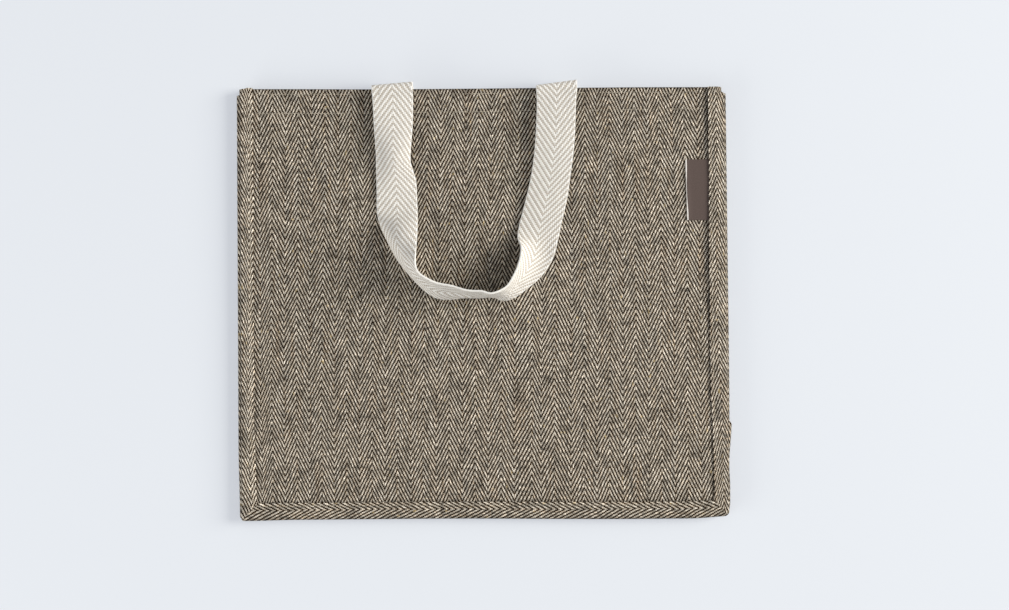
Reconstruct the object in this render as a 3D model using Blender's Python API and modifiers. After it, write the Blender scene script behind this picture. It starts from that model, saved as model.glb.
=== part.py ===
"""A tote bag of herringbone cloth, folded flat and lying on its back, with webbing handles.

X runs to the right across the bag, Y towards its mouth and Z up. The bag lies on Z = 0, and the
origin is the middle of its outline there. Lengths are in metres.
"""

import math

import bpy
import numpy as np
from mathutils import Vector

MM = 0.001

# The bag's outline as it lies
HEIGHT = 400 * MM
HALF_WIDTH_MOUTH = 226 * MM
HALF_WIDTH_BASE = 227.6 * MM
FOLD_PROUD = 6 * MM  # the handles' folds stand this far past the mouth
CORNER_RADIUS = 5 * MM
Y_BASE = -(HEIGHT + FOLD_PROUD) / 2
Y_MOUTH = Y_BASE + HEIGHT

# Cloth, and the space between layers that lie on each other
CLOTH = 1.0 * MM
GAP = 0.3 * MM
LAYER = CLOTH + GAP

# Sewing
BINDING = 15.5 * MM  # width of the binding's leaf
SEAM_INSET = 2.8 * MM  # the seam's raw edges end this far inside the rim
HEM = 20 * MM
HEM_STOPS = 30 * MM  # the hem stops this far inside the rim
GUSSET_FOLD = 90 * MM  # half of the bag's depth
GUSSET_DROP = 4 * MM  # the gusset's ends lie below the mouth
BACK_DROP = 5 * MM  # so do the back binding's
BACK_WIDER = 1 * MM
STEP_OUT = 2 * MM  # the back binding steps out beside the folded gusset corner
STEP_HEIGHT = 91 * MM

# How the cloth relaxes between the bound edges
FRONT_RISE = 2.3 * MM
MOUTH_RISE = 0.6 * MM
RISE_DEPTH = 100 * MM  # the rise is complete this far inside the rim
WAVE = 0.5 * MM
WAVE_X = 130 * MM
WAVE_Y = 210 * MM

# Webbing
WEB = 38 * MM
WEB_THICK = 1.6 * MM
WEB_REST = 0.4 * MM  # air under webbing that lies on the cloth
SEWN_END = 24 * MM
LEFT_STRAP = -83 * MM  # middles of the straps at the mouth
RIGHT_STRAP = 69.5 * MM
BACK_LOOP = 170 * MM  # from the mouth to the middle of the hidden loop's cross piece

# Label
LABEL_LEFT = 190.4 * MM
LABEL_RIGHT = 216 * MM
LABEL_LOW = 73 * MM
LABEL_HIGH = 130 * MM
LABEL_THICK = 0.8 * MM

# Layers of the stack at the rim, counted from the floor
BACK_BINDING_LOW, BACK_PANEL, GUSSET_BACK, BACK_BINDING_HIGH = 0, 1, 2, 3
FRONT_BINDING_LOW, GUSSET_FRONT, FRONT_PANEL, FRONT_BINDING_HIGH = 4, 5, 6, 7


def level(layer):
    """Height of the middle of a layer of cloth in the stack at the rim."""
    return CLOTH / 2 + layer * LAYER


def ease(t):
    t = min(max(t, 0.0), 1.0)
    return t * t * (3 - 2 * t)


def plateau(value, low, high, soft):
    """1 between low and high, easing to 0 over soft on both sides."""
    return ease((value - low) / soft + 1) * ease((high - value) / soft + 1)


def half_width(y):
    down = (Y_MOUTH - y) / HEIGHT
    return HALF_WIDTH_MOUTH + (HALF_WIDTH_BASE - HALF_WIDTH_MOUTH) * down


def depth(x, y):
    """Distance inward from the nearest bound edge."""
    return min(half_width(y) - abs(x), y - Y_BASE)


def front_middle(x, y):
    """Height of the middle of the front panel's cloth."""
    rise = ease((depth(x, y) - BINDING) / (RISE_DEPTH - BINDING))
    near_mouth = ease((y - Y_MOUTH) / RISE_DEPTH + 1)
    wave = 1 + math.sin(2 * math.pi * (x / WAVE_X + y / WAVE_Y))
    return level(FRONT_PANEL) + rise * (FRONT_RISE + MOUTH_RISE * near_mouth + WAVE * wave / 2)


def back_middle(x, y):
    """Height of the middle of the back panel's cloth, which lies over the folded back handle."""
    beside, beyond = WEB / 2 + 10 * MM, WEB / 2 + 26 * MM
    soft = 20 * MM
    cross = Y_MOUTH - BACK_LOOP
    across = plateau(x, LEFT_STRAP - beside, RIGHT_STRAP + beside, soft)
    over_straps = across * plateau(y, cross - beyond, Y_MOUTH, soft)
    over_cross = across * plateau(y, cross - beyond, cross + beyond, soft)
    strap_rise = WEB_THICK + GAP + CLOTH / 2 - level(BACK_PANEL)
    cross_rise = WEB_THICK + GAP
    return level(BACK_PANEL) + strap_rise * over_straps + (cross_rise + 0.1 * MM) * over_cross


def round_corner(x, y):
    """Moves a point near a base corner so that square outlines get a round corner."""
    centre_x = HALF_WIDTH_BASE - CORNER_RADIUS
    across, down = abs(x) - centre_x, Y_BASE + CORNER_RADIUS - y
    if across <= 0 or down <= 0:
        return x, y
    pull = max(across, down) / math.hypot(across, down)
    side = math.copysign(1.0, x)
    return side * (centre_x + across * pull), Y_BASE + CORNER_RADIUS - down * pull


def sheet_object(name, rows, thickness, colour, roughness, left_out=frozenset()):
    """A sheet through rows of points, each row as long as the next, with its thickness.

    left_out holds the (row, column) of each quad that the sheet doesn't have.
    """
    columns = len(rows[0])
    points = [Vector(p) for row in rows for p in row]
    faces = [
        (i * columns + j, i * columns + j + 1, (i + 1) * columns + j + 1, (i + 1) * columns + j)
        for i in range(len(rows) - 1)
        for j in range(columns - 1)
        if (i, j) not in left_out
    ]
    used = sorted({k for face in faces for k in face})
    place = {k: n for n, k in enumerate(used)}
    mesh = bpy.data.meshes.new(name)
    mesh.from_pydata([points[k] for k in used], [], [[place[k] for k in f] for f in faces])
    mesh.update()
    obj = bpy.data.objects.new(name, mesh)
    collection().objects.link(obj)
    wall = obj.modifiers.new("Thickness", "SOLIDIFY")
    wall.thickness = thickness
    wall.offset = 0  # the rows run through the middle of the cloth
    mesh.materials.append(material(name, colour, roughness))
    mesh.shade_smooth()
    return obj


def collection():
    name = "Tote bag"
    if name not in bpy.data.collections:
        made = bpy.data.collections.new(name)
        bpy.context.scene.collection.children.link(made)
    return bpy.data.collections[name]


def material(name, colour, roughness):
    made = bpy.data.materials.new(name + " cloth")
    made.use_nodes = True
    shader = made.node_tree.nodes["Principled BSDF"]
    shader.inputs["Base Color"].default_value = (*colour, 1)
    shader.inputs["Roughness"].default_value = roughness
    shader.inputs["Metallic"].default_value = 0
    return made


HERRINGBONE = (0.23, 0.19, 0.14)
CREAM = (0.68, 0.65, 0.59)
BROWN = (0.12, 0.085, 0.075)


def arc(centre, radius, start, end, steps):
    """Points (first, second) on an arc, its angles in degrees."""
    angles = [math.radians(start + (end - start) * k / steps) for k in range(steps + 1)]
    return [(centre[0] + radius * math.cos(a), centre[1] + radius * math.sin(a)) for a in angles]


def spread(start, end, count):
    """Evenly spaced numbers from start to end, both included."""
    return [start + (end - start) * k / count for k in range(count + 1)]


def panel(name, middle, hem_side):
    """A panel with its hem turned in at the mouth, towards hem_side (-1 down, 1 up)."""
    reach = half_width(0) - SEAM_INSET
    hem_edge = (half_width(0) - HEM_STOPS) / reach
    over_fold = 1 - GUSSET_FOLD / reach
    left = [-1, -(1 + hem_edge) / 2] + spread(-hem_edge, -over_fold, 3)[:-1]
    columns = left + spread(-over_fold, over_fold, 12) + [-u for u in reversed(left)]
    bend = LAYER / 2
    edge = Y_MOUTH - bend - CLOTH / 2
    low = Y_BASE + SEAM_INSET
    heights = [low, low + BINDING] + spread(low + 2 * BINDING, edge, 15)

    def at(u, y, drop=0.0, out=0.0):
        x = u * (half_width(y) - SEAM_INSET)
        return (*round_corner(x, y + out), middle(x, y) + hem_side * drop)

    rows = [[at(u, y) for u in columns] for y in heights]
    for out, drop in arc((0, bend), bend, -90, 90, 4)[1:]:
        rows.append([at(u, edge, drop, out) for u in columns])
    for back in spread(0, HEM - bend, 2)[1:]:
        rows.append([at(u, edge - back, LAYER) for u in columns])
    first_hem_row = len(heights) - 1
    beside = (0, 1, len(columns) - 3, len(columns) - 2)
    no_hem = {(i, j) for i in range(first_hem_row, len(rows) - 1) for j in beside}
    return sheet_object(name, rows, CLOTH, HERRINGBONE, 0.9, no_hem)


def rim_rows(profile, drop, side_steps, base_steps, widen=None, raise_leaf=None):
    """Rows of a strip that follows the left side, base and right side, mitred at the corners.

    profile holds (depth inside the rim, height) from one edge of the strip to the other.
    """
    corner = [1 - 5 * MM / HEIGHT, 1 - 3 * MM / HEIGHT, 1 - 1.5 * MM / HEIGHT, 1]
    side = spread(0, 1 - 14 * MM / HEIGHT, side_steps) + corner
    ends = [3 * MM / HEIGHT, 8 * MM / HEIGHT]
    base = ends + spread(16 * MM / HEIGHT, 1 - 16 * MM / HEIGHT, base_steps)
    base += [1 - e for e in reversed(ends)]
    top = Y_MOUTH - drop
    rows = []
    for inward, height in profile:
        low = Y_BASE + inward
        wide = half_width(low) - inward
        row = []
        for f in side:
            y = top + (low - top) * f
            row.append([-(half_width(y) - inward), y, height])
        for f in base:
            row.append([wide * (2 * f - 1), low, height])
        for f in reversed(side):
            y = top + (low - top) * f
            row.append([half_width(y) - inward, y, height])
        for p in row:
            if raise_leaf:
                p[2] += raise_leaf(p[0], p[1], inward, height)
            p[0], p[1] = round_corner(p[0], p[1])
            if widen:
                p[0] += widen(p[0], p[1])
        rows.append(row)
    return rows


def gusset():
    """Sides and base, one strip folded inward between the panels."""
    hold, closed = 16.5 * MM, 24 * MM
    bend = LAYER / 2
    inner = GUSSET_FOLD - bend
    low_rim, high_rim = level(GUSSET_BACK), level(GUSSET_FRONT)
    low_in, high_in = level(BACK_BINDING_HIGH), level(FRONT_BINDING_LOW)
    half = (hold + closed) / 2
    profile = [(SEAM_INSET, low_rim), (hold, low_rim), (half, (low_rim + low_in) / 2)]
    profile += [(closed, low_in), (inner - 25 * MM, low_in)]
    profile += arc((inner, (low_in + high_in) / 2), bend, -90, 90, 4)
    profile += [(inner - 25 * MM, high_in), (closed, high_in)]
    profile += [(half, (high_rim + high_in) / 2), (hold, high_rim), (SEAM_INSET, high_rim)]
    rows = rim_rows(profile, GUSSET_DROP, 6, 8)
    return sheet_object("gusset", rows, CLOTH, HERRINGBONE, 0.9)


def binding(name, low_layer, high_layer, drop, widen=None, raise_leaf=None):
    """A strip folded round the seam, with a leaf on each side of it."""
    low, high = level(low_layer), level(high_layer)
    bend = (high - low) / 2
    middle = CLOTH / 2 + bend
    profile = [(BINDING, low), ((BINDING + middle) / 2, low)]
    profile += arc((middle, low + bend), bend, 270, 90, 6)
    profile += [((BINDING + middle) / 2, high), (BINDING, high)]
    rows = rim_rows(profile, drop, 10, 6, widen, raise_leaf)
    return sheet_object(name, rows, CLOTH, HERRINGBONE, 0.9)


def over_label(x, y, inward, height):
    """Lift of the front binding's upper leaf where the label is caught under it."""
    if x < 0 or height < level(FRONT_BINDING_HIGH) - GAP:
        return 0.0
    beyond = 40 * MM
    along = plateau(y, LABEL_LOW - beyond, LABEL_HIGH + beyond, 2 * beyond)
    return (LABEL_THICK + GAP) * along * ease((inward - 3 * MM) / (5 * MM))


def back_wider(x, y):
    """How far the back binding stands out past the front one, to the left or right."""
    if abs(x) < half_width(y) - 2 * BINDING:
        return 0.0
    if x < 0:
        return -BACK_WIDER
    up = y - Y_BASE
    step = ease((STEP_HEIGHT - up) / (4 * MM) + 0.5) * ease(up / (60 * MM))
    return BACK_WIDER + STEP_OUT * step


def label():
    """A small blank strip, its right end caught in the binding."""
    rows = []
    for y in spread(LABEL_LOW, LABEL_HIGH, 3):
        xs = spread(LABEL_LEFT, LABEL_RIGHT, 3)
        over = CLOTH / 2 + GAP + LABEL_THICK / 2
        rows.append([(x, y, front_middle(x, y) + over) for x in xs])
    return sheet_object("label", rows, LABEL_THICK, BROWN, 0.7)


# The front handle where it lies on the panel, from the left strap round to the right strap, in
# millimetres: both edges of the webbing seen from above, the share of the way from the outer
# to the inner edge where its middle thread is seen, and the lift of outer edge, middle and
# inner edge above lying flat. Round the loop the webbing stands on its outer edge.
HANDLE_COLUMNS = (
    "outer_x", "outer_y", "inner_x", "inner_y", "share", "outer_up", "middle_up", "inner_up",
)
HANDLE_ROWS = (
    (-100.6, 184.5, -63.4, 184.5, 0.50, 6.5, 8.0, 7.0),
    (-99.6, 160.0, -64.2, 160.0, 0.50, 5.5, 10.5, 7.5),
    (-98.2, 138.5, -66.3, 138.5, 0.51, 3.5, 12.0, 6.5),
    (-98.2, 119.0, -64.0, 119.0, 0.51, 1.5, 8.0, 3.5),
    (-98.3, 102.5, -61.2, 102.5, 0.50, 0.5, 3.5, 1.5),
    (-98.0, 81.5, -60.4, 81.0, 0.50, 0.0, 6.0, 4.0),
    (-94.7, 70.0, -60.2, 69.5, 0.46, 0.0, 11.0, 10.0),
    (-89.5, 58.0, -60.2, 57.5, 0.36, 0.0, 16.0, 18.0),
    (-84.2, 47.0, -60.7, 46.0, 0.34, 0.0, 17.8, 27.0),
    (-76.8, 34.6, -61.0, 34.0, 0.42, 0.0, 18.3, 35.0),
    (-65.7, 21.1, -57.5, 25.2, 0.55, 0.0, 18.5, 37.0),
    (-53.8, 9.0, -48.0, 18.8, 0.55, 0.0, 17.9, 36.0),
    (-43.2, 2.6, -39.8, 15.6, 0.53, 0.0, 17.5, 35.2),
    (-31.2, 1.4, -28.4, 13.4, 0.54, 0.0, 17.8, 35.6),
    (-17.8, 2.4, -15.6, 9.8, 0.56, 0.0, 18.5, 36.8),
    (-4.4, 2.4, -2.8, 8.4, 0.56, 0.0, 18.6, 37.0),
    (6.8, 2.0, 8.4, 6.0, 0.54, 0.0, 18.7, 36.8),
    (17.6, 0.6, 15.0, 8.2, 0.54, 0.0, 17.8, 35.4),
    (29.3, 3.4, 21.6, 12.2, 0.54, 0.0, 17.2, 33.0),
    (41.9, 12.8, 27.6, 20.6, 0.52, 0.0, 15.4, 29.5),
    (54.0, 24.7, 32.4, 30.0, 0.52, 0.0, 11.5, 25.5),
    (62.5, 37.0, 35.0, 41.5, 0.57, 0.0, 5.5, 21.5),
    (67.0, 47.0, 35.2, 50.0, 0.58, 0.0, 3.0, 16.5),
    (70.2, 58.2, 32.9, 58.6, 0.52, 0.0, 2.0, 6.0),
    (72.7, 68.0, 33.8, 68.6, 0.50, 0.5, 1.5, 1.5),
    (78.3, 93.0, 40.0, 93.0, 0.50, 0.5, 2.5, 1.0),
    (81.7, 115.0, 45.2, 115.2, 0.50, 1.5, 4.5, 2.5),
    (84.6, 137.0, 48.5, 137.4, 0.50, 4.0, 7.5, 5.5),
    (86.2, 159.2, 50.2, 159.5, 0.50, 6.0, 9.5, 7.5),
    (87.2, 183.5, 51.0, 183.8, 0.50, 7.5, 9.0, 8.0),
)

# How far the front handle's folds stand past the mouth at both edges of each strap
FOLD_EDGES = {"left": (3.6 * MM, 5.6 * MM), "right": (6.0 * MM, 3.6 * MM)}
FOLD_SETBACK = 0.5 * MM
FOLD_LIFT = 5.5 * MM


def lying_on_panel(x, y):
    """Height of the middle of webbing that lies on the front panel."""
    return front_middle(x, min(y, Y_MOUTH)) + CLOTH / 2 + WEB_REST + WEB_THICK / 2


def mouth_fold(strap, outer_proud, inner_proud, outward):
    """Sections from the sewn end under the hem, out of the mouth and over its edge.

    outward is the side, -1 or 1, on which the strap's outer edge lies.
    """
    sections = []
    edges = (strap + outward * WEB / 2, strap, strap - outward * WEB / 2)
    prouds = (outer_proud, (outer_proud + inner_proud) / 2, inner_proud)
    under = LAYER + CLOTH / 2 + GAP + WEB_THICK / 2
    for back in (SEWN_END, SEWN_END / 2):
        y = Y_MOUTH - back
        sections.append([(x, y, front_middle(x, y) - under) for x in edges])
    centre_y = Y_MOUTH - FOLD_SETBACK
    for turn in spread(-90, 90, 8):
        section = []
        a = math.radians(turn)
        for x, proud in zip(edges, prouds):
            low = front_middle(x, Y_MOUTH) - under
            high = lying_on_panel(x, Y_MOUTH) + FOLD_LIFT
            swing = FOLD_SETBACK + proud - WEB_THICK / 2
            height = (low + high) / 2 + (high - low) / 2 * math.sin(a)
            section.append((x, centre_y + swing * math.cos(a), height))
        sections.append(section)
    return sections


def handle_sections():
    """All sections of the front handle: its outer edge, middle and inner edge."""
    sections = mouth_fold(LEFT_STRAP, *FOLD_EDGES["left"], -1)
    for values in HANDLE_ROWS:
        row = dict(zip(HANDLE_COLUMNS, values))
        outer = np.array((row["outer_x"], row["outer_y"])) * MM
        inner = np.array((row["inner_x"], row["inner_y"])) * MM
        middle = outer + (inner - outer) * row["share"]
        lifts = (row["outer_up"], row["middle_up"], row["inner_up"])
        places = zip((outer, middle, inner), lifts)
        sections.append([(*p, lying_on_panel(*p) + up * MM) for p, up in places])
    sections += reversed(mouth_fold(RIGHT_STRAP, *FOLD_EDGES["right"], 1))
    return np.array(sections)


def along_path(sections, spacing):
    """More sections between those given, on a smooth curve through each edge and the middle."""
    steps = np.linalg.norm(np.diff(sections[:, 1], axis=0), axis=1)
    where = np.concatenate(([0], np.cumsum(steps)))
    slopes = np.empty_like(sections)
    slopes[1:-1] = (sections[2:] - sections[:-2]) / (where[2:] - where[:-2])[:, None, None]
    slopes[0] = (sections[1] - sections[0]) / steps[0]
    slopes[-1] = (sections[-1] - sections[-2]) / steps[-1]
    made = []
    for k, step in enumerate(steps):
        count = max(1, round(step / spacing))
        for t in np.arange(count) / count:
            ahead = t * t * (3 - 2 * t)
            leaving, arriving = t * (1 - t) ** 2 * step, t * t * (t - 1) * step
            point = sections[k] * (1 - ahead) + sections[k + 1] * ahead
            made.append(point + slopes[k] * leaving + slopes[k + 1] * arriving)
    made.append(sections[-1])
    return made


def bowed(section):
    """Five points across the webbing on a smooth bow through its edges and middle."""
    outer, middle, inner = section
    near = 0.375 * outer + 0.75 * middle - 0.125 * inner
    far = 0.375 * inner + 0.75 * middle - 0.125 * outer
    return [outer, near, middle, far, inner]


def front_handle():
    rows = [bowed(section) for section in along_path(handle_sections(), 7.5 * MM)]
    return sheet_object("front_handle", rows, WEB_THICK, CREAM, 0.85)


def back_handle():
    """The handle that is hidden under the bag, folded flat at two corners of its loop."""
    half = WEB / 2
    floor = WEB_THICK / 2
    bend = (WEB_THICK + GAP) / 2
    cross = Y_MOUTH - BACK_LOOP
    above = LAYER + CLOTH / 2 + GAP + WEB_THICK / 2
    setback = 2 * MM
    swing = setback + WEB_THICK / 2 + 1.6 * MM

    def strap(x):
        """Lines across a strap from its sewn end over the mouth's edge and down to the loop."""
        edges = (x - half, x + half)
        lines = []
        for back in (SEWN_END, SEWN_END / 2):
            y = Y_MOUTH - back
            lines.append([(e, y, back_middle(e, y) + above) for e in edges])
        high = back_middle(x, Y_MOUTH) + above
        for turn in spread(90, -90, 8):
            a = math.radians(turn)
            z = (high + floor) / 2 + (high - floor) / 2 * math.sin(a)
            lines.append([(e, Y_MOUTH - setback + swing * math.cos(a), z) for e in edges])
        for y in spread(Y_MOUTH - 12 * MM, cross + half + 8 * MM, 4):
            lines.append([(e, y, floor) for e in edges])
        return lines

    def corner(x, outward):
        """Lines parallel to the diagonal fold, from the strap's layer up to the cross piece."""
        lines = []
        for turn in spread(0, 180, 6):
            a = math.radians(turn)
            out = bend * math.sin(a) / math.sqrt(2)
            z = floor + bend - bend * math.cos(a)
            outer = (x + outward * (half + out), cross + half - out, z)
            inner = (x + outward * (out - half), cross - half - out, z)
            lines.append([outer, inner])
        return lines

    left = strap(LEFT_STRAP) + corner(LEFT_STRAP, -1)
    right = [line[::-1] for line in strap(RIGHT_STRAP)] + corner(RIGHT_STRAP, 1)
    top = floor + 2 * bend
    middle = [[(x, cross + half, top), (x, cross - half, top)] for x in spread(-55 * MM, 40 * MM, 2)]
    lines = left + middle + right[::-1]
    rows = [[outer, Vector(outer).lerp(inner, 0.5), inner] for outer, inner in lines]
    return sheet_object("back_handle", rows, WEB_THICK, CREAM, 0.85)


def build():
    for old in list(bpy.data.objects):
        bpy.data.objects.remove(old)
    panel("front_panel", front_middle, -1)
    panel("back_panel", back_middle, 1)
    gusset()
    binding("front_binding", FRONT_BINDING_LOW, FRONT_BINDING_HIGH, 0, raise_leaf=over_label)
    binding("back_binding", BACK_BINDING_LOW, BACK_BINDING_HIGH, BACK_DROP, widen=back_wider)
    front_handle()
    back_handle()
    label()


build()
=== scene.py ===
# %% [markdown]
# # A herringbone tote bag, folded flat
#
# The bag is sewn from eight pieces of cloth: two panels, a gusset folded in between them, a
# binding round each of the two seams, two webbing handles and a small label. It lies on its
# back, so its looks come from thin sheets that lie on each other, and from their weave.
#
# The imported model comes first. It fixes where everything lies.

# %% The fixed frame
import math

import bmesh
import bpy
import numpy as np
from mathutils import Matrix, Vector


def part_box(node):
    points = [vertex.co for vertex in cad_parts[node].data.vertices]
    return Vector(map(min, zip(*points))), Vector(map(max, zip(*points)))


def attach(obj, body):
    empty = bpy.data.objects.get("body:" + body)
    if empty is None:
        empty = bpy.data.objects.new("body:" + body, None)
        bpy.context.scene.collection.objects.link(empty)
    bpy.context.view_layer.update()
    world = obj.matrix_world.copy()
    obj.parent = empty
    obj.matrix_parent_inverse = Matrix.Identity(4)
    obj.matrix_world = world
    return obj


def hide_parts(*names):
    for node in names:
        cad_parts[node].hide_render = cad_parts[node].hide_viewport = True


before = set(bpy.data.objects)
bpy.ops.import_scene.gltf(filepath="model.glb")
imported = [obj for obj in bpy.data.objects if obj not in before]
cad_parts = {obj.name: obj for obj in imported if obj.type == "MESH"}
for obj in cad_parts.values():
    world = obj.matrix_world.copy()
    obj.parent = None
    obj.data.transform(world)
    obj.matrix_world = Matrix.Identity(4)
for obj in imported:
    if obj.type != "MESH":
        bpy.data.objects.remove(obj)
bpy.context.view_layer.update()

MM = 0.001
print("nodes to dress:", sorted(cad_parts))

# %% [markdown]
# ## The camera
#
# The picture was taken from straight above. A lens can be worked out from what it sees: the
# sensor's width is to the field's width as the focal length is to the distance.

# %% Camera
CAMERA_DISTANCE = 1400 * MM
FIELD_ACROSS = 938 * MM  # on the bag's top
CAMERA_OVER = (19.5 * MM, -4.6 * MM)
BAG_TURN = math.radians(0.5)  # the bag lies turned this far to the left in the picture

bag_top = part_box("front_panel")[1].z
camera_data = bpy.data.cameras.new("camera")
camera_data.lens = camera_data.sensor_width * CAMERA_DISTANCE / FIELD_ACROSS
camera = bpy.data.objects.new("camera", camera_data)
camera.location = (*CAMERA_OVER, bag_top + CAMERA_DISTANCE)
camera.rotation_euler = (0, 0, -BAG_TURN)
bpy.context.scene.collection.objects.link(camera)
bpy.context.scene.camera = camera
print(f"lens {camera_data.lens:.1f} mm, {camera.location.z:.3f} m above the floor")

# %% [markdown]
# ## Colours and nodes
#
# Colours are written as they look on a screen and turned to linear light, which is what
# shaders add up. One helper adds any node with its settings and its inputs.

# %% Colour and node helpers


def linear(code):
    """The linear colour for a screen colour such as #AABBCC."""
    shown = [int(code[k : k + 2], 16) / 255 for k in (1, 3, 5)]
    return (*(c / 12.92 if c <= 0.04045 else ((c + 0.055) / 1.055) ** 2.4 for c in shown), 1.0)


def add(tree, kind, inputs=(), **settings):
    """A new node. Inputs are numbers, colours, sockets, nodes for their first output, or None."""
    made = tree.nodes.new("ShaderNode" + kind)
    for name, value in settings.items():
        setattr(made, name, value)
    for key, value in inputs.items() if isinstance(inputs, dict) else enumerate(inputs):
        if value is None:
            continue
        if isinstance(value, bpy.types.Node):
            value = value.outputs[0]
        if isinstance(value, bpy.types.NodeSocket):
            tree.links.new(value, made.inputs[key])
        else:
            made.inputs[key].default_value = value
    return made


def new_material(name, roughness, specular=0.2, sheen=0.0):
    """A material with its tree and its shader, with what is the same all over it."""
    made = bpy.data.materials.new(name)
    made.use_nodes = True
    shader = made.node_tree.nodes["Principled BSDF"]
    shader.inputs["Roughness"].default_value = roughness
    shader.inputs["Specular IOR Level"].default_value = specular
    shader.inputs["Sheen Weight"].default_value = sheen
    return made, made.node_tree, shader


MIX_COLOUR = 2  # the place of a colour mix among a Mix node's outputs
print("white is", linear("#FFFFFF")[:3])

# %% [markdown]
# ## Floor and light
#
# The bag lies on a light table, a pale matt sheet with lamps under it, which is how shops keep
# the shadows round a thing thin. So almost half of its brightness is its own. A soft fill comes
# from all round, a large low window on the right gives the shadows their direction, and a white
# card on the left lights what faces away from it. The tones are shown plainly, with no film look.

# %% Floor and light
FLOOR_SIZE = 6.0
FLOOR_BELOW = 0.05 * MM  # keeps it out of the cloth that lies on it
KEY_ELEVATION = math.radians(24)
KEY_TURN = math.radians(9)  # from straight right, towards the bag's mouth
KEY_DISTANCE = 5.0
KEY_SIZE = 2.4
KEY_POWER = 320.0
CARD_ELEVATION = math.radians(16)
CARD_DISTANCE = 2.5
CARD_SIZE = (2.4, 0.8)
CARD_POWER = 37.0
CARD_TURN = math.radians(-152)  # on the left of the table, towards its front
FILL_STRENGTH = 0.41
TABLE_GLOW = 0.425  # the table's own light, against white

bpy.context.scene.view_settings.view_transform = "Standard"

bpy.ops.object.select_all(action="DESELECT")
bpy.ops.mesh.primitive_plane_add(size=FLOOR_SIZE, location=(0, 0, -FLOOR_BELOW))
floor = bpy.context.object
floor.name = "floor"
table, tree, shader = new_material("Matt light table", 0.9)
shader.inputs["Base Color"].default_value = linear("#AFB3B5")
shader.inputs["Emission Color"].default_value = linear("#EFF3FE")
shader.inputs["Emission Strength"].default_value = TABLE_GLOW
floor.data.materials.append(table)


def area_light(name, size, power, colour, distance, elevation, turn):
    """A flat light that faces the bag, turned from straight right round to the left."""
    data = bpy.data.lights.new(name, "AREA")
    data.shape = "RECTANGLE"
    data.size, data.size_y = size
    data.energy = power
    data.color = linear(colour)[:3]
    light = bpy.data.objects.new(name, data)
    reach, height = distance * math.cos(elevation), distance * math.sin(elevation)
    light.location = (reach * math.cos(turn), reach * math.sin(turn), height)
    light.rotation_euler = light.location.to_track_quat("Z", "Y").to_euler()
    bpy.context.scene.collection.objects.link(light)
    return light


key_place = (KEY_DISTANCE, KEY_ELEVATION, KEY_TURN)
card_place = (CARD_DISTANCE, CARD_ELEVATION, CARD_TURN)
key = area_light("window", (KEY_SIZE, KEY_SIZE), KEY_POWER, "#FFFBF4", *key_place)
card = area_light("card", CARD_SIZE, CARD_POWER, "#FFFDF8", *card_place)

world = bpy.data.worlds.new("Soft room")
world.use_nodes = True
world.node_tree.nodes["Background"].inputs["Color"].default_value = linear("#F8FAFF")
world.node_tree.nodes["Background"].inputs["Strength"].default_value = FILL_STRENGTH
bpy.context.scene.world = world
print("window and card at", [tuple(round(c, 2) for c in light.location) for light in (key, card)])

# %% [markdown]
# ## How a twill is woven
#
# A 2/2 twill lifts each lengthwise thread, or end, over two crosswise threads, or picks, and
# then drops it under two. The next end does the same one pick later, so the lifts climb in a
# slant. When the order of the ends turns back after every few, the slant turns back with it,
# and herringbone chevrons appear.
#
# An image of the cloth could be laid on it. Here the pattern is worked out instead: each sheet
# carries a UV map that counts its threads, ends along U and picks along V, so a few sums tell
# which thread lies on top at a point, and how far along and across that thread the point is.

# %% The twill
DRIFT = (0.011, 0.016, 1)  # noise cells in one end and in one pick, so it changes very slowly


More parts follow.
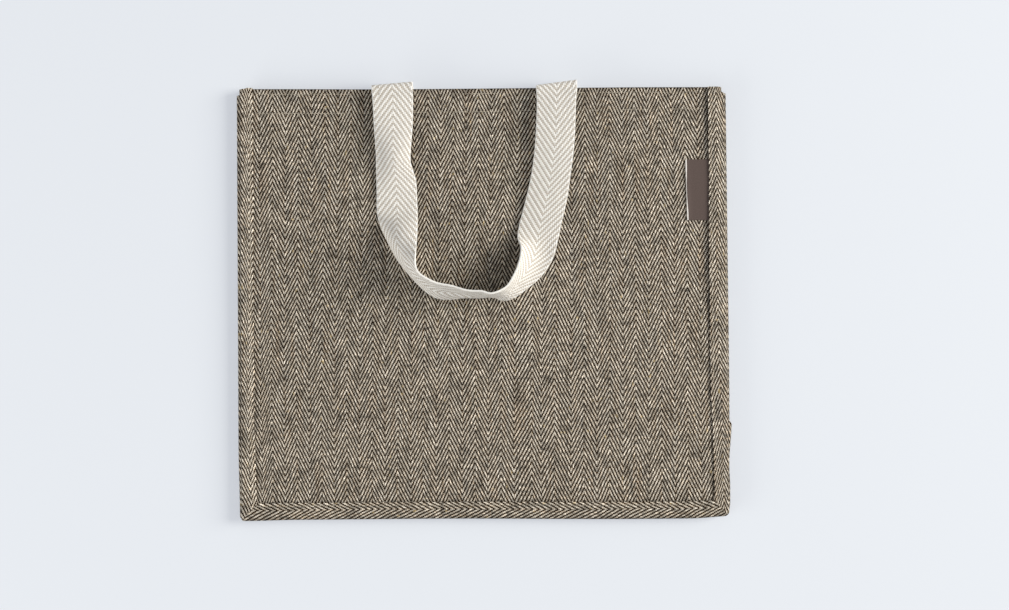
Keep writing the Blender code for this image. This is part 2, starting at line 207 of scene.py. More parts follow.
def twill(tree, ends_per_wale, wander_ends, wander_picks):
    """The nodes of a pointed 2/2 twill, as a dictionary of its useful values.

    Threads never lie quite straight, so the count is pushed about by a slow noise.
    """
    count = add(tree, "UVMap", uv_map="threads")
    slow = add(tree, "Mapping", {"Vector": count, "Scale": DRIFT})
    drift = add(tree, "TexNoise", {"Vector": slow, "Scale": 1, "Detail": 5, "Roughness": 0.7})
    pushes, mean = drift.outputs["Color"], (0.5, 0.5, 0.5)
    centred = add(tree, "VectorMath", [pushes, mean], operation="SUBTRACT")
    reach = (wander_ends, wander_picks, 0)
    pushed = add(tree, "VectorMath", [centred, reach, count], operation="MULTIPLY_ADD")
    place = add(tree, "SeparateXYZ", [pushed])
    u, v = place.outputs[0], place.outputs[1]
    end = add(tree, "Math", [u], operation="FLOOR")
    pick = add(tree, "Math", [v], operation="FLOOR")
    in_end = add(tree, "Math", [u], operation="FRACT")
    in_pick = add(tree, "Math", [v], operation="FRACT")
    shaft = add(tree, "Math", [end, ends_per_wale], operation="PINGPONG")
    turn = add(tree, "Math", [pick, shaft], operation="ADD")
    step = add(tree, "Math", [turn, 4], operation="FLOORED_MODULO")
    end_on_top = add(tree, "Math", [step, 1.5], operation="LESS_THAN")
    in_repeat = add(tree, "Math", [end, 2 * ends_per_wale], operation="FLOORED_MODULO")
    falling = add(tree, "Math", [in_repeat, ends_per_wale - 0.5], operation="GREATER_THAN")
    from_end = add(tree, "Math", [in_end, falling], operation="SUBTRACT")
    over_ends = add(tree, "Math", [from_end], operation="ABSOLUTE")
    part = add(tree, "Mix", [end_on_top, None, over_ends, in_pick])
    gone = add(tree, "Math", [step, part], operation="ADD")
    quarter = add(tree, "Math", [gone, math.pi / 2], operation="MULTIPLY")
    swell = add(tree, "Math", [quarter], operation="SINE")
    along = add(tree, "Math", [swell], operation="ABSOLUTE")
    sideways = add(tree, "Mix", [end_on_top, None, in_pick, in_end])
    half_turn = add(tree, "Math", [sideways, math.pi], operation="MULTIPLY")
    across = add(tree, "Math", [half_turn], operation="SINE")
    repeat = add(tree, "Math", [turn, 0.25], operation="MULTIPLY")
    float_number = add(tree, "Math", [repeat], operation="FLOOR")
    return {
        "u": u, "v": v, "end": end, "pick": pick, "float_number": float_number,
        "end_on_top": end_on_top, "along": along, "across": across,
    }


# %% [markdown]
# ## The bag's cloth
#
# It is a coarse, hand-spun linen: pale ends over dark brown picks, both uneven. So every end
# and every pick gets a tone of its own that changes slowly along it, and each float of an end is
# a little paler or darker than the next. Knots, warm flecks, smudges and dark dashes along the
# picks turn up here and there. Between threads the cloth is dark, because light doesn't reach
# down there. The threads are about as fine as one pixel, so their round backs are bump, and the
# folds and seams are shape.
#
# The noises are scaled in cells per end and per pick. At 0.06 cells per pick, the tone of an end
# holds for some 17 picks, which is 25 mm of cloth.

# %% Coarse linen herringbone
END_PITCH = 0.75 * MM
PICK_PITCH = 1.49 * MM
ENDS_PER_WALE = 16


def herringbone_linen():
    made, tree, shader = new_material("Coarse linen herringbone", 0.93, specular=0.1, sheen=0.04)
    weave = twill(tree, ENDS_PER_WALE, 4.5, 3.5)
    end_run = add(tree, "CombineXYZ", [weave["end"], weave["v"]])
    end_place = add(tree, "VectorMath", [end_run, (1.37, 0.06, 0)], operation="MULTIPLY")
    end_tone = add(tree, "TexNoise", {"Vector": end_place, "Scale": 1, "Detail": 2.5})
    warm_place = add(tree, "VectorMath", [end_run, (0.53, 0.021, 7)], operation="MULTIPLY")
    warmth = add(tree, "TexNoise", {"Vector": warm_place, "Scale": 1, "Detail": 1})
    pick_run = add(tree, "CombineXYZ", [weave["u"], weave["pick"]])
    pick_place = add(tree, "VectorMath", [pick_run, (0.05, 1.61, 0)], operation="MULTIPLY")
    pick_tone = add(tree, "TexNoise", {"Vector": pick_place, "Scale": 1, "Detail": 3})
    fibre_run = add(tree, "CombineXYZ", [weave["u"], weave["v"]])
    fibre = add(tree, "TexNoise", {"Vector": fibre_run, "Scale": 2.3, "Detail": 3})
    fleck = add(tree, "TexNoise", {"Vector": fibre_run, "Scale": 0.2, "Detail": 1})
    slub_place = add(tree, "VectorMath", [fibre_run, (0.9, 0.55, 0)], operation="MULTIPLY")
    slub = add(tree, "TexNoise", {"Vector": slub_place, "Scale": 1, "Detail": 1})
    smudge = add(tree, "TexNoise", {"Vector": fibre_run, "Scale": 0.09, "Detail": 4})
    dash_place = add(tree, "VectorMath", [fibre_run, (0.08, 0.5, 0)], operation="MULTIPLY")
    dash = add(tree, "TexNoise", {"Vector": dash_place, "Scale": 1, "Detail": 3})
    float_place = add(tree, "CombineXYZ", [weave["end"], weave["float_number"]])
    float_tone = add(tree, "TexWhiteNoise", {"Vector": float_place}, noise_dimensions="2D")

    pale = add(
        tree, "Mix", {0: end_tone, 6: linear("#93866E"), 7: linear("#F7F0E3")}, data_type="RGBA"
    ).outputs[MIX_COLOUR]
    warm_part = add(tree, "MapRange", [warmth, 0.45, 0.75, 0, 0.55])
    ends = add(
        tree, "Mix", {0: warm_part, 6: pale, 7: linear("#B59C7F")}, data_type="RGBA"
    ).outputs[MIX_COLOUR]
    picks = add(
        tree, "Mix", {0: pick_tone, 6: linear("#050201"), 7: linear("#43301A")}, data_type="RGBA"
    ).outputs[MIX_COLOUR]
    threads = add(
        tree, "Mix", {0: weave["end_on_top"], 6: picks, 7: ends}, data_type="RGBA"
    ).outputs[MIX_COLOUR]
    fleck_part = add(tree, "MapRange", [fleck, 0.7, 0.8, 0, 0.6])
    flecked = add(
        tree, "Mix", {0: fleck_part, 6: threads, 7: linear("#DCC28A")}, data_type="RGBA"
    ).outputs[MIX_COLOUR]

    crown = add(tree, "Math", [weave["along"], 0.45, 0.55], operation="MULTIPLY_ADD")
    relief = add(tree, "Math", [crown, weave["across"]], operation="MULTIPLY")
    shade = add(tree, "MapRange", [relief, 0.0, 0.75, 0.06, 1.19])
    # The tone attribute multiplies in the pieces' painted shade and painted highlights.
    painted_shade_and_tone = add(tree, "Attribute", attribute_name="tone").outputs["Fac"]
    parts = (
        add(tree, "MapRange", [fibre, 0.25, 0.75, 0.75, 1.25]),
        add(tree, "MapRange", [slub, 0.25, 0.75, 0.5, 1.5]),
        add(tree, "MapRange", [float_tone, 0, 1, 0.62, 1.36]),
        add(tree, "MapRange", [pick_tone, 0.3, 0.7, 0.78, 1.22]),
        add(tree, "MapRange", [smudge, 0.34, 0.5, 0.7, 1.05]),
        add(tree, "MapRange", [dash, 0.3, 0.43, 0.55, 1.04]),
        painted_shade_and_tone,
    )
    for part in parts:
        shade = add(tree, "Math", [shade, part], operation="MULTIPLY")
    shown = add(tree, "VectorMath", [flecked, None, None, shade], operation="SCALE")
    tree.links.new(shown.outputs[0], shader.inputs["Base Color"])

    fuzzy = add(tree, "Math", [fibre, 0.25, relief], operation="MULTIPLY_ADD")
    bump = add(tree, "Bump", {"Height": fuzzy, "Strength": 0.6, "Distance": 0.3 * MM})
    tree.links.new(bump.outputs[0], shader.inputs["Normal"])
    return made


linen = herringbone_linen()
wale = ENDS_PER_WALE * END_PITCH / MM
print(f"one wale is {wale:.1f} mm wide, {len(linen.node_tree.nodes)} nodes")

# %% [markdown]
# ## The webbing
#
# The handles are a thick cotton tape, 38 mm wide, woven in the same twill with one chevron
# down its middle. Both threads are cream, so here it is the relief that draws the pattern: the
# thick ends stand up as pale ridges, and of the thin picks only the crowns show, low and greyer.
# At both edges the picks turn back under plain ends, which is the selvedge.

# %% Cream cotton webbing
WEB = 38 * MM
WEB_END_PITCH = 1.27 * MM
WEB_PICK_PITCH = 1.62 * MM
WEB_ENDS_PER_WALE = 15
SELVEDGE = (14.3, 14.6)  # ends from the middle, where the plain edge begins


def cotton_webbing():
    made, tree, shader = new_material("Cream cotton webbing", 0.85, sheen=0.03)
    weave = twill(tree, WEB_ENDS_PER_WALE, 1.0, 1.5)
    run = add(tree, "CombineXYZ", [weave["u"], weave["v"]])
    fibre = add(tree, "TexNoise", {"Vector": run, "Scale": 2.1, "Detail": 3})
    dapple = add(tree, "TexNoise", {"Vector": run, "Scale": 0.23, "Detail": 2})
    from_tip = add(tree, "Math", [weave["u"], WEB_ENDS_PER_WALE + 0.5], operation="SUBTRACT")
    from_middle = add(tree, "Math", [from_tip], operation="ABSOLUTE")
    selvedge = add(tree, "MapRange", [from_middle, *SELVEDGE])
    crown = add(tree, "Math", [weave["along"], 0.5, 0.5], operation="MULTIPLY_ADD")
    relief = add(tree, "Math", [crown, weave["across"]], operation="MULTIPLY")
    covered = add(tree, "MapRange", [relief, 0.1, 0.42, 1, 0])
    near_end = add(tree, "Math", [weave["end_on_top"], covered], operation="MAXIMUM")
    pale_part = add(tree, "Math", [near_end, selvedge], operation="MAXIMUM")
    threads = add(
        tree, "Mix", {0: pale_part, 6: linear("#C9BFB1"), 7: linear("#FFFDF7")}, data_type="RGBA"
    ).outputs[MIX_COLOUR]
    raised = add(tree, "Math", [weave["end_on_top"], 0.6, relief], operation="MULTIPLY_ADD")
    depth_shade = add(tree, "MapRange", [relief, 0.0, 0.6, 0.82, 1.0])
    fibre_shade = add(tree, "MapRange", [fibre, 0.25, 0.75, 0.9, 1.08])
    dapple_shade = add(tree, "MapRange", [dapple, 0.3, 0.7, 0.95, 1.03])
    even_shade = add(tree, "Mix", [selvedge, None, depth_shade, 0.88])
    shade = add(tree, "Math", [even_shade, fibre_shade], operation="MULTIPLY")
    shade = add(tree, "Math", [shade, dapple_shade], operation="MULTIPLY")
    shown = add(tree, "VectorMath", [threads, None, None, shade], operation="SCALE")
    tree.links.new(shown.outputs[0], shader.inputs["Base Color"])
    even_height = add(tree, "Mix", [selvedge, None, raised, 0.8])
    bump = add(tree, "Bump", {"Height": even_height, "Strength": 0.8, "Distance": 0.5 * MM})
    tree.links.new(bump.outputs[0], shader.inputs["Normal"])
    return made


webbing = cotton_webbing()
print(f"the webbing has {WEB / WEB_END_PITCH:.0f} ends across it")

# %% [markdown]
# ## Label tape and sewing thread
#
# The label is a smooth brown satin tape with fine ribs and a white edge. It is left blank. The
# sewing thread is a pale linen, twisted, and a little uneven in tone.

# %% Satin tape and thread
RIB_PITCH = 0.6 * MM
WHITE_EDGE = 1.15 * MM  # at both ends
WHITE_EDGE_LEAST = 0.45 * MM
WHITE_MIDDLE = 28 * MM  # where it is narrowest
WHITE_WIDENS = (6, 20)  # millimetres from there, where it begins and ends to widen


def satin_tape():
    made, tree, shader = new_material("Brown satin tape", 0.6, specular=0.4)
    place = add(tree, "UVMap", uv_map="threads")
    across = add(tree, "SeparateXYZ", [place])
    from_middle = add(tree, "Math", [across.outputs[1], WHITE_MIDDLE / MM], operation="SUBTRACT")
    to_an_end = add(tree, "Math", [from_middle], operation="ABSOLUTE")
    wide = (WHITE_EDGE_LEAST / MM, WHITE_EDGE / MM)
    white_edge = add(tree, "MapRange", [to_an_end, *WHITE_WIDENS, *wide])
    in_edge = add(tree, "Math", [across.outputs[0], white_edge], operation="LESS_THAN")
    cloudy = add(tree, "TexNoise", {"Vector": place, "Scale": 1.1, "Detail": 4})
    brown = add(
        tree, "Mix", {0: cloudy, 6: linear("#4A3B35"), 7: linear("#635550")}, data_type="RGBA"
    ).outputs[MIX_COLOUR]
    shown = add(
        tree, "Mix", {0: in_edge, 6: brown, 7: linear("#F4F0EA")}, data_type="RGBA"
    ).outputs[MIX_COLOUR]
    tree.links.new(shown, shader.inputs["Base Color"])
    each_mm = 2 * math.pi * MM / RIB_PITCH
    turns = add(tree, "Math", [across.outputs[1], each_mm], operation="MULTIPLY")
    ribs = add(tree, "Math", [turns], operation="SINE")
    bump = add(tree, "Bump", {"Height": ribs, "Strength": 0.4, "Distance": 0.05 * MM})
    tree.links.new(bump.outputs[0], shader.inputs["Normal"])
    return made


def sewing_thread():
    made, tree, shader = new_material("Linen sewing thread", 0.8)
    place = add(tree, "TexCoord").outputs["Object"]
    uneven = add(tree, "TexNoise", {"Vector": place, "Scale": 160, "Detail": 3})
    shown = add(
        tree, "Mix", {0: uneven, 6: linear("#8F846F"), 7: linear("#DDD3C0")}, data_type="RGBA"
    ).outputs[MIX_COLOUR]
    tree.links.new(shown, shader.inputs["Base Color"])
    bump = add(tree, "Bump", {"Height": uneven, "Strength": 0.5, "Distance": 0.1 * MM})
    tree.links.new(bump.outputs[0], shader.inputs["Normal"])
    return made


tape = satin_tape()
thread = sewing_thread()
print("materials:", [m.name for m in (table, linen, webbing, tape, thread)])

# %% [markdown]
# ## How the layers lie
#
# At the rim the bag is eight layers of cloth thick, each 1 mm with 0.3 mm between them. Away
# from the rim the front panel is free to rise a little. These few sizes and functions give
# the height of every layer, so that each sheet can be laid on the one below it.

# %% Sizes and heights
HEIGHT = 400 * MM
HALF_WIDTH_MOUTH = 226 * MM
HALF_WIDTH_BASE = 227.6 * MM
FOLD_PROUD = 6 * MM
CORNER_LEFT, CORNER_RIGHT = 2.4 * MM, 5 * MM  # how round the base corners are
Y_BASE = -(HEIGHT + FOLD_PROUD) / 2
Y_MOUTH = Y_BASE + HEIGHT
CLOTH = 1.0 * MM
GAP = 0.3 * MM
LAYER = CLOTH + GAP
BINDING = 15.5 * MM
SEAM_INSET = 2.8 * MM
GUSSET_FOLD = 90 * MM
FRONT_RISE = 2.3 * MM
MOUTH_RISE = 0.6 * MM
RISE_DEPTH = 100 * MM
WAVE, WAVE_X, WAVE_Y = 0.5 * MM, 130 * MM, 210 * MM
LUMP = 0.22 * MM  # finer unevenness of the panels
BASE_SAG = 1.9 * MM
SAG_FROM, SAG_TO, SAG_HIGH = -60 * MM, 150 * MM, 70 * MM
SAG_END = 36 * MM  # it comes back up over this length at the corner
BASE_PROUD, BASE_PROUD_LEFT = 0.3 * MM, 1.0 * MM
PROUD_LEFT_FROM, PROUD_LEFT_LONG = -176 * MM, 45 * MM
MOUTH_LIFT = 1.8 * MM
LIFT_FROM, LIFT_TO, LIFT_LOW = -80 * MM, -230 * MM, 60 * MM
WEB_THICK = 1.6 * MM
WEB_REST = 0.4 * MM
SEWN_END = 24 * MM
LEFT_STRAP = -83 * MM
RIGHT_STRAP = 69.5 * MM
BACK_LOOP = 170 * MM

BACK_BINDING_LOW, BACK_PANEL, GUSSET_BACK, BACK_BINDING_HIGH = 0, 1, 2, 3
FRONT_BINDING_LOW, GUSSET_FRONT, FRONT_PANEL, FRONT_BINDING_HIGH = 4, 5, 6, 7


def level(layer):
    return CLOTH / 2 + layer * LAYER


def ease(t):
    t = np.clip(t, 0.0, 1.0)
    return t * t * (3 - 2 * t)


def plateau(value, low, high, soft):
    return ease((value - low) / soft + 1) * ease((high - value) / soft + 1)


def half_width(y):
    return HALF_WIDTH_MOUTH + (HALF_WIDTH_BASE - HALF_WIDTH_MOUTH) * (Y_MOUTH - y) / HEIGHT


def depth(x, y):
    return np.minimum(half_width(y) - np.abs(x), y - Y_BASE)


def lumps(x, y):
    """A slow, uneven swell from -1 to 1."""
    return (
        np.sin(x / (11 * MM) + 2.1 * np.sin(y / (37 * MM)))
        * np.sin(y / (14 * MM) + 1.7 * np.sin(x / (29 * MM) + 0.6))
    )


def front_middle(x, y):
    rise = ease((depth(x, y) - BINDING) / (RISE_DEPTH - BINDING))
    near_mouth = ease((y - Y_MOUTH) / RISE_DEPTH + 1)
    wave = (1 + np.sin(2 * math.pi * (x / WAVE_X + y / WAVE_Y))) / 2
    swell = FRONT_RISE + MOUTH_RISE * near_mouth + WAVE * wave + LUMP * lumps(x, y)
    return level(FRONT_PANEL) + rise * swell


def back_middle(x, y):
    beside, beyond = WEB / 2 + 10 * MM, WEB / 2 + 26 * MM
    soft = 20 * MM
    cross = Y_MOUTH - BACK_LOOP
    across = plateau(x, LEFT_STRAP - beside, RIGHT_STRAP + beside, soft)
    over_straps = across * plateau(y, cross - beyond, Y_MOUTH, soft)
    over_cross = across * plateau(y, cross - beyond, cross + beyond, soft)
    strap_rise = WEB_THICK + GAP + CLOTH / 2 - level(BACK_PANEL)
    cross_rise = WEB_THICK + GAP + 0.1 * MM
    return level(BACK_PANEL) + strap_rise * over_straps + cross_rise * over_cross


def round_corner(x, y):
    """Moves points near the base corners so that the outline is round there."""
    radius = np.where(x < 0, CORNER_LEFT, CORNER_RIGHT)
    centre_x = HALF_WIDTH_BASE - radius
    across, down = np.abs(x) - centre_x, Y_BASE + radius - y
    near = (across > 0) & (down > 0)
    reach = np.where(near, np.hypot(across, down), 1.0)
    pull = np.where(near, np.maximum(across, down) / reach, 1.0)
    new_x = np.where(near, np.sign(x) * (centre_x + across * pull), x)
    return new_x, np.where(near, Y_BASE + radius - down * pull, y)


def as_it_lies(x, y):
    """Rounds the corners, lets the right half of the base sag and lifts the mouth's left end."""
    sag = BASE_SAG * ease((x - SAG_FROM) / (SAG_TO - SAG_FROM))
    sag = sag * ease((HALF_WIDTH_BASE - x) / SAG_END)
    lift = MOUTH_LIFT * ease((x - LIFT_FROM) / (LIFT_TO - LIFT_FROM))
    lift = lift * ease((y - Y_MOUTH) / LIFT_LOW + 1)
    x, y = round_corner(x, y)
    at_left = ease((PROUD_LEFT_FROM - x) / PROUD_LEFT_LONG)
    proud = BASE_PROUD + (BASE_PROUD_LEFT - BASE_PROUD) * at_left
    lower = sag * ease((Y_BASE + SAG_HIGH - y) / SAG_HIGH)
    lower = lower + proud * ease((Y_BASE - y) / BINDING + 1)
    return x, y - lower + lift


print(f"front panel {front_middle(0.0, 0.0) / MM:.1f} mm up in its middle")

# %% [markdown]
# ## From a grid to a piece of cloth
#
# Every sheet is a grid of points through the middle of the cloth, with the thread count at
# each point as its UV, and a tone attribute that makes it darker or paler there: painted shadow
# beside the bindings, painted shade in folds and stitch dents, a painted highlight on the
# bindings' crests, and some uneven tone. Solidify gives it its thickness, half to each side,
# and a small bevel wears its edges round. A strip that turns a corner is made of one grid for
# each side, whose ends lie on the mitre: the points there merge, but each side keeps its own
# thread count.

# %% Cloth pieces


def arc(centre, radius, start, end, steps):
    angles = np.radians(np.linspace(start, end, steps + 1))
    return np.array(centre) + radius * np.stack([np.cos(angles), np.sin(angles)], axis=1)


def run_length(points):
    """The distance along a line of points, from its first."""
    steps = np.linalg.norm(np.diff(points, axis=0), axis=1)
    return np.concatenate([[0.0], np.cumsum(steps)])


def only(obj):
    """Selects one object and nothing else."""
    bpy.ops.object.select_all(action="DESELECT")
    obj.select_set(True)
    bpy.context.view_layer.objects.active = obj


def cloth_piece(name, grids, thickness, finish, node):
    """A piece from grids of (points, threads, tone, quads that it doesn't have)."""
    points, threads, tones, quads = [], [], [], []
    for grid, counts, tone, left_out in grids:
        rows, columns = grid.shape[:2]
        index = sum(len(p) for p in points) + np.arange(rows * columns).reshape(rows, columns)
        corners = [index[:-1, :-1], index[:-1, 1:], index[1:, 1:], index[1:, :-1]]
        faces = np.stack(corners, axis=-1)
        quads.append(faces.reshape(-1, 4) if left_out is None else faces[~left_out])
        points.append(grid.reshape(-1, 3))
        threads.append(counts.reshape(-1, 2))
        tones.append(np.broadcast_to(tone, (rows, columns)).ravel())
    mesh = bpy.data.meshes.new(name)
    mesh.from_pydata(np.concatenate(points), [], np.concatenate(quads).tolist())
    uv = mesh.uv_layers.new(name="threads")
    corner_points = np.empty(len(mesh.loops), dtype=np.int32)
    mesh.loops.foreach_get("vertex_index", corner_points)
    uv.data.foreach_set("uv", np.concatenate(threads)[corner_points].ravel())
    # The tone attribute carries painted shade and painted highlights as well as uneven tone.
    painted_shade_and_tone = mesh.attributes.new("tone", "FLOAT", "POINT")
    painted_shade_and_tone.data.foreach_set("value", np.concatenate(tones).astype(np.float32))
    working = bmesh.new()
    working.from_mesh(mesh)
    bmesh.ops.remove_doubles(working, verts=working.verts, dist=0.001 * MM)
    loose = [v for v in working.verts if not v.link_faces]
    bmesh.ops.delete(working, geom=loose, context="VERTS")
    working.to_mesh(mesh)
    working.free()
    mesh.materials.append(finish)
    piece = bpy.data.objects.new(name, mesh)
    bpy.context.scene.collection.objects.link(piece)
    only(piece)
    wall = piece.modifiers.new("Thickness", "SOLIDIFY")
    wall.thickness = thickness
    wall.offset = 0
    bpy.ops.object.modifier_apply(modifier=wall.name)
    rounding = piece.modifiers.new("Round edge", "BEVEL")
    rounding.width = 0.3 * thickness
    rounding.segments = 2
    rounding.limit_method = "ANGLE"
    rounding.angle_limit = math.radians(55)
    bpy.ops.object.modifier_apply(modifier=rounding.name)
    bpy.ops.object.shade_smooth_by_angle(angle=math.radians(60))
    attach(piece, "root")
    if node:
        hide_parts(node)
    piece.data.calc_loop_triangles()
    print(f"{name}: {len(piece.data.loop_triangles)} triangles")
    return piece


# %% [markdown]
# ## The panels
#
# A panel is cut as one piece and hemmed: its top 24 mm are turned in and sewn down with two
# rows. The wales run up the panel, 16 ends in each, and were measured from side to side. A
# little right of the middle the weaver lost count: two wales have four ends too many and one
# has four too few. A whole twill repeat is four ends, so the slant runs on over such a fault.

# %% Front and back panel
HEM = 24 * MM
HEM_STOPS = 30 * MM
HEM_ROW_HIGH = 4.8 * MM
HEM_ROW_LOW_LEFT = 22.8 * MM  # the lower row of stitches runs a little downhill to the left
HEM_ROW_LOW_RIGHT = 20.2 * MM
SEAM_DENT = 0.22 * MM
DENT_WIDE = 0.9 * MM
DENT_SHADE = 0.12
QUARTER_FOLD = 4  # so many of the fold's 8 rows go on to the sides, where the hem has stopped
FOLD_SHADE = 0.55
LIP_SHADE, LIP_HIGH = 0.3, 2.2 * MM
GRID = 3.2 * MM
GRID_LEAST = 0.2 * MM
NEAR_STITCHES = (-1.4, -0.7, 0, 0.7, 1.4)  # grid rows beside a row of stitches, in millimetres
SIDE_COLUMNS = 18

# Places across the panel, in millimetres, where a wale turns, and how many ends lie before it
WALE_TURNS = (
    (-208.9, 0),
    (28.4, 320),
    (44.8, 340),
    (53.2, 352),
    (65.3, 368),
    (80.6, 388),
    (200.6, 548),
)
# Places where the weaver lost count, and how far the pattern lags behind the ends after them
FAULTS = ((36.6, -4), (49.0, 0), (73.0, -4))
FAULT_CLEAR = 0.8 * MM  # no other column of the grid comes so close to a fault

# How much narrower than planned the bindings' leaves are, from which height and over what length
NARROWER_LEFT, NARROWER_LOW_LEFT = 2.9 * MM, 1.1 * MM
NARROWER_LEFT_FROM, NARROWER_LEFT_LONG = -185 * MM, 80 * MM
NARROWER_LOW_RIGHT = 1.5 * MM
NARROWER_RIGHT_FROM, NARROWER_RIGHT_LONG = -40 * MM, 150 * MM
# Between these heights, the right one is wider instead
WIDER_RIGHT, WIDER_RIGHT_SOFT = 0.7 * MM, 60 * MM
WIDER_RIGHT_HEIGHTS = (-80 * MM, 50 * MM)
# Painted shadow beside the bindings' edges: its width, and how dark it is on each side
BINDING_SHADOW_WIDE = 1.1 * MM
BINDING_SHADOW_LEFT, BINDING_SHADOW_BELOW, BINDING_SHADOW_RIGHT = 0.05, 0.35, 0.45

# The wales sway. Each row gives how far below the mouth it holds, and then how far to the right
# the wales lie there, at ten places across the panel. All in millimetres.
SWAY_ACROSS = (-209, -198, -175, -140, -90, -20, 30, 80, 120, 190)
SWAYS = (
    (26, 0.8, 1.1, 1.9, 3.4, 4.5, 4.1, 4.5, 3.8, 2.2, -0.2),
    (74, 0.8, 1.3, 1.7, 2.7, 3.0, 3.6, 3.7, 3.0, 2.1, 1.0),
    (128, 0.8, 0.1, 1.0, 1.6, 1.6, 2.0, 2.5, 2.2, 1.8, 1.2),
    (184, 0.8, -0.5, -0.3, -0.1, -0.2, 0.5, 1.4, 1.8, 1.5, 1.5),
    (242, 0.8, -0.9, -1.2, -1.1, -1.2, -0.4, 0.2, 0.3, 0.4, 1.4),
    (299, 1.1, -0.9, -1.6, -2.0, -2.0, -1.7, -1.1, -0.2, -0.1, 0.3),
    (355, 2.5, -0.2, -1.2, -2.4, -2.8, -2.3, -1.3, -0.7, -0.7, 0.6),
)
SWAY_FADES = 80 * MM  # so near to the rim, the grid's columns follow the wales less and less


def sway(x, y):
    """How far the wales lie to the right at a place, in millimetres."""
    row_at = np.interp((Y_MOUTH - y) / MM, [row[0] for row in SWAYS], range(len(SWAYS)))
    return sum(
        np.clip(1 - np.abs(row_at - k), 0, 1) * np.interp(x / MM, SWAY_ACROSS, row[1:])
        for k, row in enumerate(SWAYS)
    )


def end_count(x, y):
    """Which end lies at a place on a panel. Chevrons point down at the even turns."""
    turns = np.array(WALE_TURNS)
    before = (turns[1, 1] - turns[0, 1]) / (turns[1, 0] - turns[0, 0])
    after = (turns[-1, 1] - turns[-2, 1]) / (turns[-1, 0] - turns[-2, 0])
    place = x / MM - sway(x, y)
    ends = np.interp(place, turns[:, 0], turns[:, 1])
    ends = ends + np.minimum(place - turns[0, 0], 0) * before
    ends = ends + np.maximum(place - turns[-1, 0], 0) * after
    return ends + ENDS_PER_WALE + 0.5


def hem_row(x):
    """How far the lower row of hem stitches lies below the mouth."""
    share = (x / HALF_WIDTH_MOUTH + 1) / 2
    return HEM_ROW_LOW_LEFT + (HEM_ROW_LOW_RIGHT - HEM_ROW_LOW_LEFT) * share


def narrower(x, y):
    """How much narrower than planned the bindings are on the two sides of the bag."""
    high = ease((y - NARROWER_LEFT_FROM) / NARROWER_LEFT_LONG)
    left = NARROWER_LOW_LEFT + (NARROWER_LEFT - NARROWER_LOW_LEFT) * high
    right = NARROWER_LOW_RIGHT * ease((NARROWER_RIGHT_FROM - y) / NARROWER_RIGHT_LONG)
    right = right - WIDER_RIGHT * plateau(y, *WIDER_RIGHT_HEIGHTS, WIDER_RIGHT_SOFT)
    return np.where(x < 0, left, right)


def near_binding(x, y):
    """The painted shadow that the binding's edge casts on the panel: strong on the right and below.
    """
    below = y - Y_BASE < half_width(y) - np.abs(x)
    beyond = depth(x, y) - BINDING + np.where(below, 0.0, narrower(x, y))
    edge_shadow = np.exp(-((beyond / BINDING_SHADOW_WIDE) ** 2))
    weight = np.where(below, BINDING_SHADOW_BELOW, np.where(x > 0, BINDING_SHADOW_RIGHT, BINDING_SHADOW_LEFT))
    return 1 - weight * edge_shadow


